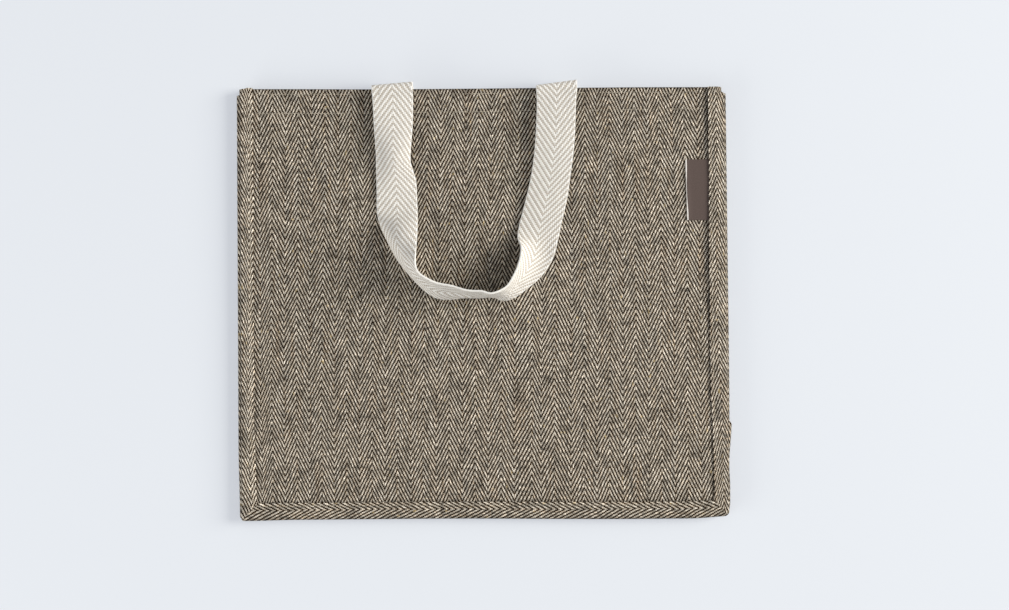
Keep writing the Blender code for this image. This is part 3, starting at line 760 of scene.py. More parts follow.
def panel(name, middle, hem_side):
    """hem_side is -1 where the hem is turned down, on the front panel, and 1 where it is up."""
    reach = half_width(0.0) - SEAM_INSET
    hem_edge = (half_width(0.0) - HEM_STOPS) / reach
    beside = np.linspace(hem_edge, 1, SIDE_COLUMNS)
    between = np.linspace(-hem_edge, hem_edge, round(2 * hem_edge * reach / GRID) + 1)
    faults = np.array([place * MM / reach for place, lag in FAULTS])
    between = between[np.abs(between[:, None] - faults).min(axis=1) > FAULT_CLEAR / reach]
    columns = np.concatenate([-beside[:0:-1], np.union1d(between, faults), beside[1:]])
    bend = LAYER / 2
    edge = Y_MOUTH - bend - CLOTH / 2
    low = Y_BASE + SEAM_INSET
    even = np.linspace(low, edge, round((edge - low) / GRID) + 1)
    rows_near = [
        Y_MOUTH - row + step * MM
        for row in (HEM_ROW_HIGH, HEM_ROW_LOW_LEFT, HEM_ROW_LOW_RIGHT)
        for step in NEAR_STITCHES
    ]
    heights = np.union1d(even, rows_near)
    heights = heights[np.concatenate([[True], np.diff(heights) > GRID_LEAST])]
    heights = heights[heights < edge]
    flat = [(y, 0.0, 0.0, y) for y in (*heights, edge)]
    folded = [
        (edge, out, drop, edge + bend * math.radians(90 + turn))
        for turn, (out, drop) in zip(np.linspace(-90, 90, 9), arc((0, bend), bend, -90, 90, 8))
    ][1:]
    turned_in = [
        (edge - back, 0.0, LAYER, edge + math.pi * bend + back)
        for back in np.linspace(0, HEM - bend - CLOTH / 2, 8)[1:]
    ]
    made = np.array(flat + folded + turned_in)
    y, out, drop, run = (made[:, k][:, None] for k in range(4))
    x = columns[None, :] * (half_width(y) - SEAM_INSET)
    x = x + sway(x, y) * MM * ease((HALF_WIDTH_MOUTH - np.abs(x)) / SWAY_FADES)
    dent = sum(
        np.exp(-(((Y_MOUTH - y - row) / DENT_WIDE) ** 2)) for row in (HEM_ROW_HIGH, hem_row(x))
    )
    on_face = (drop < bend) & (np.abs(x) < half_width(y) - BINDING)
    z = middle(x, y) + hem_side * (drop + SEAM_DENT * dent * on_face)
    new_x, new_y = as_it_lies(x, y + out + 0 * x)
    ends = end_count(x * half_width(0.0) / half_width(y), y)
    threads = np.stack([ends, (run + 0 * x) / PICK_PITCH], axis=-1)
    folds_down = 1 - FOLD_SHADE * ease((out - 0.1 * bend) / (0.8 * bend))
    lip = 1 - LIP_SHADE * np.exp(-(((Y_MOUTH - y) / LIP_HIGH) ** 2))
    # The panel's tone is painted: shadow beside the bindings, and shade in the stitch dents, where
    # the fold turns down and along the lip.
    tone = near_binding(x, y) * (1 - DENT_SHADE * dent * on_face) * folds_down * lip
    first = len(flat) - 1 + QUARTER_FOLD
    missing = np.zeros((len(made) - 1, len(columns) - 1), dtype=bool)
    missing[first:, : len(beside) - 1] = True
    missing[first:, -(len(beside) - 1) :] = True
    grid = np.stack([new_x, new_y, z], axis=-1)
    starts = [0, *np.searchsorted(columns, faults), len(columns) - 1]
    grids = []
    for start, stop, lag in zip(starts, starts[1:], (0, *(lag for place, lag in FAULTS))):
        part = slice(start, stop + 1)
        counts = threads[:, part] + (lag, 0)
        grids.append((grid[:, part], counts, tone[:, part], missing[:, start:stop]))
    return cloth_piece(f"{name}_cloth", grids, CLOTH, linen, name)


front_panel = panel("front_panel", front_middle, -1)
back_panel = panel("back_panel", back_middle, 1)

# %% [markdown]
# ## Bindings and gusset
#
# Three of the pieces follow the same way round: down the left side, along the base and up the
# right side. Each is a profile, drawn across the strip, that is swept along those three sides
# and mitred where they meet. The binding is a U round the seam. The gusset is a hairpin that
# reaches 90 mm in between the panels. The strips are cut along the ends of the cloth, so their
# chevrons travel with them: down, to the right and then up.

# %% Strips that go round
MITRE_STEPS = (14 * MM, 10 * MM, 7 * MM, 5 * MM, 3.5 * MM, 2.2 * MM, 1.2 * MM)
MITRE_REACH = 17 * MM
MOUTH_REACH = 10 * MM
SIDES = ("left", "base", "right")


def round_the_rim(profile, drop, count_ends, reshape, tone_at):
    """Three grids that share their mitres. profile holds (depth inside the rim, height).

    count_ends gives the end and tone_at the tone, for each side of the bag and each distance
    along the rim. reshape moves the points to where they lie.
    """
    inward, height = profile[:, 0][:, None], profile[:, 1][:, None]
    top = Y_MOUTH - drop
    near_mitre = [HEIGHT - step for step in MITRE_STEPS]
    near_mouth = np.arange(0, 10, 0.8) * MM
    straight = np.linspace(MOUTH_REACH, HEIGHT - MITRE_REACH, 125)
    side = np.array([*near_mouth, *straight, *near_mitre, HEIGHT])[None, :] / HEIGHT
    width = 2 * HALF_WIDTH_BASE
    middle = np.linspace(MITRE_REACH, width - MITRE_REACH, 140)
    base = [0, *MITRE_STEPS[::-1], *middle, *(width - step for step in MITRE_STEPS), width]
    base = np.array(base)[None, :] / width
    low = Y_BASE + inward
    y_side = top + (low - top) * side
    x_side = half_width(y_side) - inward
    wide = half_width(low) - inward
    x_base = wide * (2 * base - 1)
    places = {
        "left": (-x_side, y_side, Y_MOUTH - y_side),
        "base": (x_base, low + 0 * x_base, HEIGHT + HALF_WIDTH_BASE + x_base),
        "right": (x_side[:, ::-1], y_side[:, ::-1], HEIGHT + width + y_side[:, ::-1] - Y_BASE),
    }
    grids = []
    for name in SIDES:
        x, y, along = places[name]
        z = height + 0 * x
        ends = count_ends(name, along) + 0 * x
        tone = tone_at(name, along, inward + 0 * x)
        x, y, z = reshape(x, y, z, inward + 0 * x, along)
        threads = np.stack([ends, along / PICK_PITCH], axis=-1)
        grids.append((np.stack([x, y, z], axis=-1), threads, tone, None))
    return grids


# %% [markdown]
# ### The bindings
#
# Each leaf dips at its row of stitches and curls down at its edge, which wanders a little as
# hand-guided sewing does. The leaf on top is lifted where the label is caught under it. The
# binding at the back shows: it is wider by two or three millimetres, and pokes out past the
# gusset's folded corner at the lower right. The left binding is paler. Each leaf's tone holds
# a painted highlight along its inner crest, and painted shade at its rim and in its row of
# stitches. At the mouth the front binding's outer corner is folded in.

# %% Front and back binding
BACK_DROP = 5 * MM
BACK_WIDER_LEFT, BACK_WIDER_LOW_LEFT, WIDENS_LEFT = 3.3 * MM, 2.2 * MM, 70 * MM
BACK_WIDER_RIGHT, WIDENS_RIGHT = 2.2 * MM, 130 * MM
LESS_RIGHT = 0.6  # of this extra width on the right is missing at the base
CORNER_FADES_LEFT, CORNER_FADES_RIGHT = 2.5 * MM, 12 * MM
STEP_OUT = 2.1 * MM
STEP_HEIGHT = 88 * MM
STEP_LENGTH, STEP_SHARP = 40 * MM, 1.6 * MM
OUT_LOW, OUT_LOW_SOFT = 0.8 * MM, 18 * MM  # it pokes out once more by the base corner
OUT_LOW_HEIGHTS = (8 * MM, 28 * MM)
STITCH_ROW = 12.9 * MM  # the binding's stitches lie this far inside the rim
ROW_DENT, ROW_WIDE = 0.22 * MM, 1.0 * MM
EDGE_WANDER = 0.3 * MM
EDGE_CURL, CURL_WIDE = 0.15 * MM, 1.2 * MM
TIP_WANDER = 0.4 * MM
RIPPLE = 0.05 * MM
END_LONG = 5 * MM
END_ROUNDING, ROUNDING_WIDE = 0.6 * MM, 4 * MM
END_BULGE, BULGE_SOFT = 0.9 * MM, 4 * MM
BULGE_DEPTHS = (9 * MM, 14 * MM)
END_FOLD = 2.6 * MM  # the front binding's end is narrower by this on the right
END_FOLD_LONG, END_FOLD_SOFT, END_FOLD_DEEP = 4.4 * MM, 1.6 * MM, 11 * MM
# How far inside the rim the chevrons' tips lie, at distances along the rim. All in millimetres.
TIPS = {
    "left": ((0, 10.8), (212, 10.8), (240, 8.9), (327, 8.9), (352, 10.2), (400, 10.2)),
    "base": ((400, 9.2), (856, 9.2)),
    "right": (
        (856, 5.6), (898, 5.7), (954, 6.1), (1011, 7.7), (1069, 8.4), (1125, 8.3), (1256, 8.0),
    ),
}
# How much closer than elsewhere the ends lie, inside and outside the tips
SQUEEZE = {"left": (1.0, 1.0), "base": (1.0, 1.0), "right": (1.15, 1.2)}
# The leaf's tone, and where inside the rim its crest, a painted highlight, begins and how much
# paler it is
TONES = {"left": 1.22, "base": 1.02, "right": 1.07}
CRESTS = {"left": (9.2 * MM, 0.2), "base": (12.5 * MM, 0.24), "right": (12 * MM, 0.1)}
CREST_SOFT = 1.8 * MM
HOLLOW_SHADE, HOLLOW_WIDE = 0.1, 0.9 * MM
TONE_WANDER = 0.05
EDGE_SHADE = 0.5
RIM_SHADED = {"left": 2.4 * MM, "base": 4 * MM, "right": 2.4 * MM}

LABEL_LEFT = 189.7 * MM
LABEL_RIGHT = 216 * MM
LABEL_LOW = 73 * MM
LABEL_HIGH = 129.4 * MM
LABEL_THICK = 0.8 * MM
LIFTED_BEYOND = 40 * MM  # past the label it stays up so far, and comes down over twice that
LIFTED_FROM, LIFTED_OVER = 3 * MM, 5 * MM


def wander(along, seed):
    """A slow, uneven sway from -1 to 1."""
    return (
        0.5 * np.sin(along / (9.3 * MM) + seed)
        + 0.3 * np.sin(along / (4.1 * MM) + 2.3 * seed)
        + 0.2 * np.sin(along / (23 * MM) + 0.7 * seed)
    )


def over_label(x, y, inward):
    low, high = LABEL_LOW - LIFTED_BEYOND, LABEL_HIGH + LIFTED_BEYOND
    along = plateau(y, low, high, 2 * LIFTED_BEYOND)
    lifted = (LABEL_THICK + GAP) * along * ease((inward - LIFTED_FROM) / LIFTED_OVER)
    return np.where(x > 0, lifted, 0.0)


def back_wider(x, y):
    up = y - Y_BASE
    step = ease((STEP_HEIGHT - up) / STEP_SHARP) * ease(1 - (STEP_HEIGHT - up) / STEP_LENGTH)
    right = BACK_WIDER_RIGHT * (1 - LESS_RIGHT * ease(1 - up / WIDENS_RIGHT)) + STEP_OUT * step
    right = right + OUT_LOW * plateau(up, *OUT_LOW_HEIGHTS, OUT_LOW_SOFT)
    left = BACK_WIDER_LOW_LEFT + (BACK_WIDER_LEFT - BACK_WIDER_LOW_LEFT) * ease(up / WIDENS_LEFT)
    to_left, to_right = -left * ease(up / CORNER_FADES_LEFT), right * ease(up / CORNER_FADES_RIGHT)
    wider = np.where(x < 0, to_left, to_right)
    return np.where(np.abs(x) < half_width(y) - 2 * BINDING, 0.0, wider)


def binding(name, low_layer, high_layer, drop, seed, is_front):
    low, high = level(low_layer), level(high_layer)
    bend = (high - low) / 2
    middle = CLOTH / 2 + bend
    leaf = np.linspace(BINDING, middle, 11)[:-1]
    lower = np.stack([leaf, np.full(len(leaf), low)], axis=1)
    upper = np.stack([leaf[::-1], np.full(len(leaf), high)], axis=1)
    profile = np.concatenate([lower, arc((middle, low + bend), bend, 270, 90, 12), upper])
    across = run_length(profile)
    across = across - across[-1] / 2
    over_bend = math.pi / 2 * bend - middle

    def count_ends(side, along):
        tips = np.array(TIPS[side]) * MM
        apex = np.interp(along, tips[:, 0], tips[:, 1]) + over_bend
        apex = apex + TIP_WANDER * wander(along, seed)
        inside = across[:, None] - apex
        squeeze = np.where(inside > 0, *SQUEEZE[side])
        return inside * squeeze / END_PITCH + 0.5

    def reshape(x, y, z, inward, along):
        is_upper = z > (low + high) / 2
        outward = np.where(is_upper, 1.0, -1.0)
        free = ease((inward - middle) / (BINDING - middle))
        further = EDGE_WANDER * wander(along, seed + 3) * free
        side_part = ease((np.abs(x) - half_width(y)) / BINDING + 2)
        dent = ROW_DENT * np.exp(-(((inward - STITCH_ROW) / ROW_WIDE) ** 2))
        curl = EDGE_CURL * ease((inward - BINDING) / CURL_WIDE + 1)
        ripple = RIPPLE * wander(along, seed + 5) * free
        z = z - outward * (dent + curl) + ripple * is_upper
        if is_front:
            z = z + np.where(is_upper, over_label(x, y, inward), 0.0)
        x = x - np.sign(x) * (further - narrower(x, y) * free) * side_part
        y = y + further * (1 - side_part)
        at_end = ease(1 - (Y_MOUTH - drop - y) / END_LONG)
        bulge = END_BULGE * plateau(inward, *BULGE_DEPTHS, BULGE_SOFT) * (x < 0) * is_front
        y = y + (bulge - END_ROUNDING * ease(1 - inward / ROUNDING_WIDE)) * at_end
        if is_front:
            folded_in = ease((END_FOLD_LONG + END_FOLD_SOFT - (Y_MOUTH - y)) / END_FOLD_SOFT)
            x = x - END_FOLD * folded_in * (x > 0) * ease(1 - inward / END_FOLD_DEEP)
        x, y = as_it_lies(x, y)
        if not is_front:
            x = x + back_wider(x, y)
        return x, y, z

    def tone_at(side, along, inward):
        # The crest is a painted highlight; the hollow at the stitches and the rim are painted
        # shade.
        start, paler = CRESTS[side]
        side_tone_and_lit_crest = TONES[side] + paler * ease((inward - start) / CREST_SOFT)
        hollow = np.exp(-(((inward - STITCH_ROW) / HOLLOW_WIDE) ** 2))
        at_rim = ease(1 - inward / RIM_SHADED[side])
        tone = side_tone_and_lit_crest * (1 - HOLLOW_SHADE * hollow) * (1 - EDGE_SHADE * at_rim)
        return tone + TONE_WANDER * wander(along, seed + 7)

    grids = round_the_rim(profile, drop, count_ends, reshape, tone_at)
    return cloth_piece(f"{name}_cloth", grids, CLOTH, linen, name)


front_binding = binding("front_binding", FRONT_BINDING_LOW, FRONT_BINDING_HIGH, 0, 1.0, True)
back_binding = binding("back_binding", BACK_BINDING_LOW, BACK_BINDING_HIGH, BACK_DROP, 2.0, False)
RIM = 2 * HEIGHT + 2 * HALF_WIDTH_BASE

# %% [markdown]
# ### The gusset
#
# Its two halves lie on each other inside the bag and meet in a soft fold. Only its ends show,
# in the mouth.

# %% Gusset
GUSSET_DROP = 4 * MM


def gusset():
    hold, closed = 16.5 * MM, 24 * MM
    bend = LAYER / 2
    inner = GUSSET_FOLD - bend
    low_in, high_in = level(BACK_BINDING_HIGH), level(FRONT_BINDING_LOW)
    nip = (hold + closed) / 2

    def leaf(rim, inside):
        """Depths and heights of one half, from its raw edge in to its fold."""
        deeper = np.linspace(30 * MM, inner, 20)[:-1]
        inward = np.array([SEAM_INSET, 10 * MM, hold, nip, closed, *deeper])
        settle = ease((inward - hold) / (closed - hold))
        return np.stack([inward, rim + (inside - rim) * settle], axis=1)

    fold = arc((inner, (low_in + high_in) / 2), bend, -90, 90, 8)
    lower = leaf(level(GUSSET_BACK), low_in)
    upper = leaf(level(GUSSET_FRONT), high_in)[::-1]
    profile = np.concatenate([lower, fold, upper])
    across = run_length(profile)[:, None]
    grids = round_the_rim(
        profile,
        GUSSET_DROP,
        count_ends=lambda side, along: across / END_PITCH + 0 * along,
        reshape=lambda x, y, z, inward, along: (*as_it_lies(x, y), z),
        tone_at=lambda side, along, inward: 1.0,
    )
    piece = cloth_piece("gusset_cloth", grids, CLOTH, linen, "gusset")
    cut = (run_length(profile)[-1], RIM)
    return cut


gusset_cut = gusset()
print(f"the gusset is cut {gusset_cut[0] / MM:.0f} by {gusset_cut[1] / MM:.0f} mm")

# %% [markdown]
# ## The front handle
#
# Webbing bends along its length but hardly stretches, and it doesn't bend in its own plane. So
# where a flopped handle turns round, it stands up on one edge. Its path was placed from
# the picture: both edges and the middle thread of the webbing at each place, and how far each
# is lifted. A smooth curve runs through each, and the webbing is bowed between them. A crease on
# the left of the turn and small puckers on its right are then pressed in, square to its face.

# %% Front handle
HANDLE_COLUMNS = (
    "outer_x", "outer_y", "inner_x", "inner_y", "share", "outer_up", "middle_up", "inner_up",
)
HANDLE_ROWS = (
    (-100.6, 184.5, -63.4, 184.5, 0.50, 8.2, 8.0, 7.0),
    (-99.6, 160.0, -64.2, 160.0, 0.50, 7.0, 8.8, 6.8),
    (-98.2, 138.5, -66.3, 138.5, 0.51, 3.5, 10.6, 6.5),
    (-98.2, 128.5, -66.4, 128.5, 0.51, 2.4, 10.0, 5.5),
    (-98.2, 120.5, -64.2, 120.5, 0.51, 1.6, 7.4, 3.6),
    (-98.3, 112.5, -61.8, 112.5, 0.50, 1.0, 4.2, 2.2),
    (-98.3, 102.5, -61.0, 102.5, 0.50, 0.5, 2.2, 1.5),
    (-98.0, 81.5, -60.4, 81.0, 0.50, 0.0, 3.6, 4.0),
    (-94.7, 70.0, -60.2, 69.5, 0.46, 0.0, 11.0, 10.0),
    (-89.5, 58.0, -60.2, 57.5, 0.36, 0.0, 16.0, 18.0),
    (-84.2, 47.0, -60.7, 46.0, 0.34, 0.0, 17.8, 27.0),
    (-76.8, 34.6, -61.0, 34.0, 0.42, 0.0, 18.3, 35.0),
    (-65.7, 21.1, -57.9, 25.4, 0.55, 0.0, 18.5, 37.0),
    (-53.8, 9.0, -48.0, 18.8, 0.55, 0.0, 17.9, 36.0),
    (-43.2, 2.6, -39.8, 15.6, 0.53, 0.0, 17.5, 35.2),
    (-31.2, 1.4, -28.4, 13.4, 0.54, 0.0, 17.8, 35.6),
    (-17.8, 2.7, -15.6, 9.4, 0.56, 0.0, 18.5, 36.9),
    (-9.7, 2.5, -8.1, 8.5, 0.56, 0.0, 18.6, 37.2),
    (-2.5, 2.5, -1.1, 8.3, 0.56, 0.0, 18.6, 37.2),
    (5.7, 3.0, 6.3, 6.2, 0.54, 0.0, 18.9, 37.6),
    (12.0, 2.2, 11.6, 7.0, 0.54, 0.0, 18.7, 37.4),
    (17.8, -0.2, 16.5, 9.0, 0.54, 0.0, 16.9, 36.2),
    (27.3, 1.8, 22.3, 13.0, 0.59, 0.0, 14.2, 34.0),
    (40.7, 10.6, 27.6, 21.3, 0.61, 0.0, 11.4, 31.0),
    (53.6, 21.5, 31.9, 31.0, 0.61, 0.0, 7.9, 26.0),
    (63.2, 34.8, 34.6, 41.7, 0.59, 0.0, 3.8, 19.0),
    (67.8, 47.0, 34.9, 49.5, 0.57, 0.0, 2.4, 14.0),
    (69.3, 53.9, 33.2, 54.0, 0.55, 0.0, 2.2, 8.5),
    (70.5, 58.7, 32.0, 57.9, 0.51, 0.0, 2.0, 4.5),
    (72.4, 68.0, 33.5, 68.6, 0.50, 0.5, 1.3, 1.2),
    (78.3, 93.0, 40.0, 93.0, 0.50, 1.0, 1.7, 1.0),
    (81.7, 115.0, 45.2, 115.2, 0.50, 4.0, 3.8, 2.4),
    (84.6, 137.0, 48.5, 137.4, 0.50, 6.8, 6.4, 4.8),
    (86.2, 159.2, 50.2, 159.5, 0.50, 9.0, 8.3, 6.8),
    (87.2, 183.5, 51.0, 183.8, 0.50, 10.2, 9.2, 7.4),
)
FOLD_EDGES = {"left": (3.5 * MM, 6.6 * MM), "right": (7.2 * MM, 2.3 * MM)}
FOLD_SETBACK = 0.5 * MM
FOLD_LIFT = 5.5 * MM
HANDLE_STEP = 0.8 * MM
ACROSS_WEB = 16
# The crease along the turn: its place across the webbing, at places along the bag, and its size
CREASE_X = (-68 * MM, -14 * MM)
CREASE_SHARES = (0.6, 0.3)
CREASE_DEEP, CREASE_WIDE, CREASE_SOFT = 1.8 * MM, 0.08, 12 * MM
# The small puckers where the webbing comes out of its turn on the right
PUCKER_X, PUCKER_SOFT = (14 * MM, 33 * MM), 3 * MM
PUCKER_PITCH, PUCKER_HIGH = 2.6 * MM, 0.45 * MM
PUCKER_LEAN = 0.7
PUCKER_SHARES = (0.1, 0.55)  # across the webbing, from its outer edge
PUCKER_ENDS = 0.15
TURN_BELOW, TURN_SOFT = 60 * MM, 15 * MM  # there are none above the turn


def lying_on_panel(x, y):
    return front_middle(x, np.minimum(y, Y_MOUTH)) + CLOTH / 2 + WEB_REST + WEB_THICK / 2


def mouth_fold(strap, outer_proud, inner_proud, outward):
    """Sections from the sewn end under the hem, out of the mouth and over its edge."""
    x = np.array([strap + outward * WEB / 2, strap, strap - outward * WEB / 2])
    proud = np.array([outer_proud, (outer_proud + inner_proud) / 2, inner_proud])
    under = LAYER + CLOTH / 2 + GAP + WEB_THICK / 2
    sections = []
    for back in (SEWN_END, SEWN_END / 2):
        y = np.full(3, Y_MOUTH - back)
        sections.append(np.stack([x, y, front_middle(x, y) - under], axis=1))
    low = front_middle(x, Y_MOUTH) - under
    high = lying_on_panel(x, np.full(3, Y_MOUTH)) + FOLD_LIFT
    swing = FOLD_SETBACK + proud - WEB_THICK / 2
    for turn in np.radians(np.linspace(-90, 90, 13)):
        y = Y_MOUTH - FOLD_SETBACK + swing * math.cos(turn)
        z = (low + high) / 2 + (high - low) / 2 * math.sin(turn)
        sections.append(np.stack([x, y, z], axis=1))
    return sections


def handle_sections():
    sections = mouth_fold(LEFT_STRAP, *FOLD_EDGES["left"], -1)
    for values in HANDLE_ROWS:
        row = dict(zip(HANDLE_COLUMNS, values))
        outer = np.array((row["outer_x"], row["outer_y"])) * MM
        inner = np.array((row["inner_x"], row["inner_y"])) * MM
        middle = outer + (inner - outer) * row["share"]
        lifts = (row["outer_up"], row["middle_up"], row["inner_up"])
        places = zip((outer, middle, inner), lifts)
        sections.append([(*p, lying_on_panel(*p) + up * MM) for p, up in places])
    sections += mouth_fold(RIGHT_STRAP, *FOLD_EDGES["right"], 1)[::-1]
    return np.array(sections)


def along_path(sections, spacing):
    """More sections between those given, on a smooth curve through each thread."""
    steps = np.linalg.norm(np.diff(sections[:, 1], axis=0), axis=1)
    where = np.concatenate(([0], np.cumsum(steps)))
    slopes = np.empty_like(sections)
    slopes[1:-1] = (sections[2:] - sections[:-2]) / (where[2:] - where[:-2])[:, None, None]
    slopes[0] = (sections[1] - sections[0]) / steps[0]
    slopes[-1] = (sections[-1] - sections[-2]) / steps[-1]
    made = []
    for k, step in enumerate(steps):
        count = max(1, round(step / spacing))
        for t in np.arange(count) / count:
            ahead = t * t * (3 - 2 * t)
            leaving, arriving = t * (1 - t) ** 2 * step, t * t * (t - 1) * step
            point = sections[k] * (1 - ahead) + sections[k + 1] * ahead
            made.append(point + slopes[k] * leaving + slopes[k + 1] * arriving)
    made.append(sections[-1])
    return np.array(made)


def web_piece(name, grid, shares, runs):
    """A handle from its grid, the shares of the way across it and the lengths run along it.

    The chevron's tip lies in the middle of the webbing.
    """
    ends = (shares - 0.5) * WEB / WEB_END_PITCH + WEB_ENDS_PER_WALE + 0.5
    threads = np.stack([np.broadcast_to(ends, runs.shape), runs / WEB_PICK_PITCH], axis=-1)
    grids = [(grid, threads, 1.0, None)]
    return cloth_piece(f"{name}_web", grids, WEB_THICK, webbing, name)


def creases(grid, shares):
    """How the turn's crease and puckers move the points of the webbing, square to its face."""
    along, across = np.gradient(grid, axis=0), np.gradient(grid, axis=1)
    normal = np.cross(along, across)
    normal = normal / np.linalg.norm(normal, axis=-1, keepdims=True)
    middle_thread = grid[:, shares.size // 2]
    x, y = middle_thread[:, 0][:, None], middle_thread[:, 1][:, None]
    at_turn = ease((TURN_BELOW - y) / TURN_SOFT)
    bottom = np.interp(x, CREASE_X, CREASE_SHARES)
    trough = CREASE_DEEP * np.exp(-(((shares - bottom) / CREASE_WIDE) ** 2))
    trough = trough * plateau(x, *CREASE_X, CREASE_SOFT)
    low_part = ease(shares / PUCKER_SHARES[0]) * ease((PUCKER_SHARES[1] - shares) / PUCKER_ENDS)
    leaning = grid[..., 0] - PUCKER_LEAN * grid[..., 1]
    waves = np.sin(2 * math.pi * leaning / PUCKER_PITCH)
    pucker = PUCKER_HIGH * plateau(x, *PUCKER_X, PUCKER_SOFT) * low_part * waves
    return normal * ((trough + pucker) * at_turn)[..., None]


def front_handle():
    sections = along_path(handle_sections(), HANDLE_STEP)
    t = np.linspace(0, 1, ACROSS_WEB + 1)
    weights = np.stack([2 * t * t - 3 * t + 1, 4 * t - 4 * t * t, 2 * t * t - t])
    grid = np.einsum("skc,kt->stc", sections, weights)
    grid = grid + creases(grid, t)
    length = run_length(sections[:, 1])
    piece = web_piece("front_handle", grid, t, np.repeat(length[:, None], len(t), axis=1))
    return length[-1]


front_length = front_handle()
print(f"the front handle is {front_length / MM:.0f} mm long")

# %% [markdown]
# ## The back handle
#
# It lies hidden under the bag, pressed flat. Flat webbing can only turn a corner by folding
# over on a slant, so it has one such fold at each corner of its loop.

# %% Back handle


def back_handle():
    half = WEB / 2
    floor_height = WEB_THICK / 2
    bend = (WEB_THICK + GAP) / 2
    cross = Y_MOUTH - BACK_LOOP
    above = LAYER + CLOTH / 2 + GAP + WEB_THICK / 2
    setback, proud = 2 * MM, 1.6 * MM
    swing = setback + WEB_THICK / 2 + proud

    def strap(x):
        """Lines across a strap from its sewn end over the mouth's edge and down to the loop."""
        edges = (x - half, x + half)
        lines = []
        for back in (SEWN_END, SEWN_END / 2):
            y = Y_MOUTH - back
            lines.append([(e, y, float(back_middle(e, y)) + above) for e in edges])
        high = float(back_middle(x, Y_MOUTH)) + above
        for turn in np.radians(np.linspace(90, -90, 13)):
            y = Y_MOUTH - setback + swing * math.cos(turn)
            z = (high + floor_height) / 2 + (high - floor_height) / 2 * math.sin(turn)
            lines.append([(e, y, z) for e in edges])
        for y in np.linspace(Y_MOUTH - 12 * MM, cross + half + 8 * MM, 30):
            lines.append([(e, y, floor_height) for e in edges])
        return lines

    def corner(x, outward):
        """Lines parallel to the slanting fold, from the strap's layer up to the cross piece."""
        lines = []
        for turn in np.radians(np.linspace(0, 180, 11)):
            out = bend * math.sin(turn) / math.sqrt(2)
            z = floor_height + bend - bend * math.cos(turn)
            outer = (x + outward * (half + out), cross + half - out, z)
            inner = (x + outward * (out - half), cross - half - out, z)
            lines.append([outer, inner])
        return lines

    left = strap(LEFT_STRAP) + corner(LEFT_STRAP, -1)
    right = [line[::-1] for line in strap(RIGHT_STRAP)] + corner(RIGHT_STRAP, 1)
    top = floor_height + 2 * bend
    xs = np.linspace(-55 * MM, 40 * MM, 20)
    middle = [[(x, cross + half, top), (x, cross - half, top)] for x in xs]
    lines = np.array(left + middle + right[::-1])
    t = np.linspace(0, 1, ACROSS_WEB + 1)[None, :, None]
    grid = lines[:, :1] * (1 - t) + lines[:, 1:] * t
    edge_runs = np.stack([run_length(lines[:, 0]), run_length(lines[:, 1])], axis=1)
    share = t[0, :, 0]
    runs = edge_runs[:, :1] * (1 - share) + edge_runs[:, 1:] * share
    piece = web_piece("back_handle", grid, share, runs)
    length = edge_runs[-1].mean()
    return length


back_length = back_handle()
print(f"the back handle is {back_length / MM:.0f} mm long")

# %% [markdown]
# ## The label
#
# A short piece of tape, caught in the right binding. Its free end is turned under, so a white
# edge shows there, and it stands up a little.

# %% Label
LABEL_LIFT = 0.25 * MM
LABEL_SKEW = 1.3 * MM  # the free end leans this much from bottom to top


def label():
    across = np.linspace(0, 1, 24)[None, :]
    up = np.linspace(0, 1, 40)[:, None]
    y = LABEL_LOW + (LABEL_HIGH - LABEL_LOW) * up + 0 * across
    left = LABEL_LEFT - LABEL_SKEW * (up - 0.5)
    x = left + (LABEL_RIGHT - left) * across
    over = CLOTH / 2 + GAP + LABEL_THICK / 2
    z = front_middle(x, y) + over + LABEL_LIFT * (1 - ease(across * 5)) * (1 + 0.5 * np.sin(6 * up))
    threads = np.stack([(x - left) / MM, (y - LABEL_LOW) / MM], axis=-1)
    grids = [(np.stack([x, y, z], axis=-1), threads, 1.0, None)]
    piece = cloth_piece("label_tape", grids, LABEL_THICK, tape, "label")


label()

# %% [markdown]
# ## Stitches
#
# A lockstitch shows as a row of short bars that sink in at both ends. One bar is modelled: a
# small ball, drawn out, with its ends pushed down. Its copies are laid along each row, on the
# surface of the cloth, and each row's copies are joined into one mesh.

# %% One stitch
STITCH_PITCH = 3.1 * MM
STITCH_LONG = 2.3 * MM
STITCH_THICK = 0.7 * MM
STITCH_SINK = 0.18 * MM
STITCH_BURIED = 0.16 * MM  # the most that the fuzz of the cloth hides of one
STITCH_ENDS = 0.35  # of its length from the middle, where its ends begin to sink
STITCH_SWING = 0.05


def model_stitch():
    bpy.ops.object.select_all(action="DESELECT")
    bpy.ops.mesh.primitive_uv_sphere_add(segments=6, ring_count=6, radius=0.5)
    bpy.ops.object.mode_set(mode="EDIT")
    bpy.ops.mesh.select_all(action="SELECT")
    bpy.ops.transform.rotate(value=math.pi / 2, orient_axis="Y", center_override=(0, 0, 0))
    bpy.ops.transform.resize(value=(STITCH_LONG, STITCH_THICK, STITCH_THICK))
    bpy.ops.mesh.select_all(action="DESELECT")
    working = bmesh.from_edit_mesh(bpy.context.object.data)
    for vertex in working.verts:
        vertex.select = abs(vertex.co.x) > STITCH_ENDS * STITCH_LONG
    working.select_flush_mode()
    bmesh.update_edit_mesh(bpy.context.object.data)
    bpy.ops.transform.translate(value=(0, 0, -STITCH_SINK))
    bpy.ops.object.mode_set(mode="OBJECT")
    return bpy.context.object


stitch = model_stitch()
stitch_points = np.array([v.co[:] for v in stitch.data.vertices])
stitch_faces = [tuple(face.vertices) for face in stitch.data.polygons]
bpy.data.objects.remove(stitch)
print(f"one stitch has {len(stitch_faces)} faces")


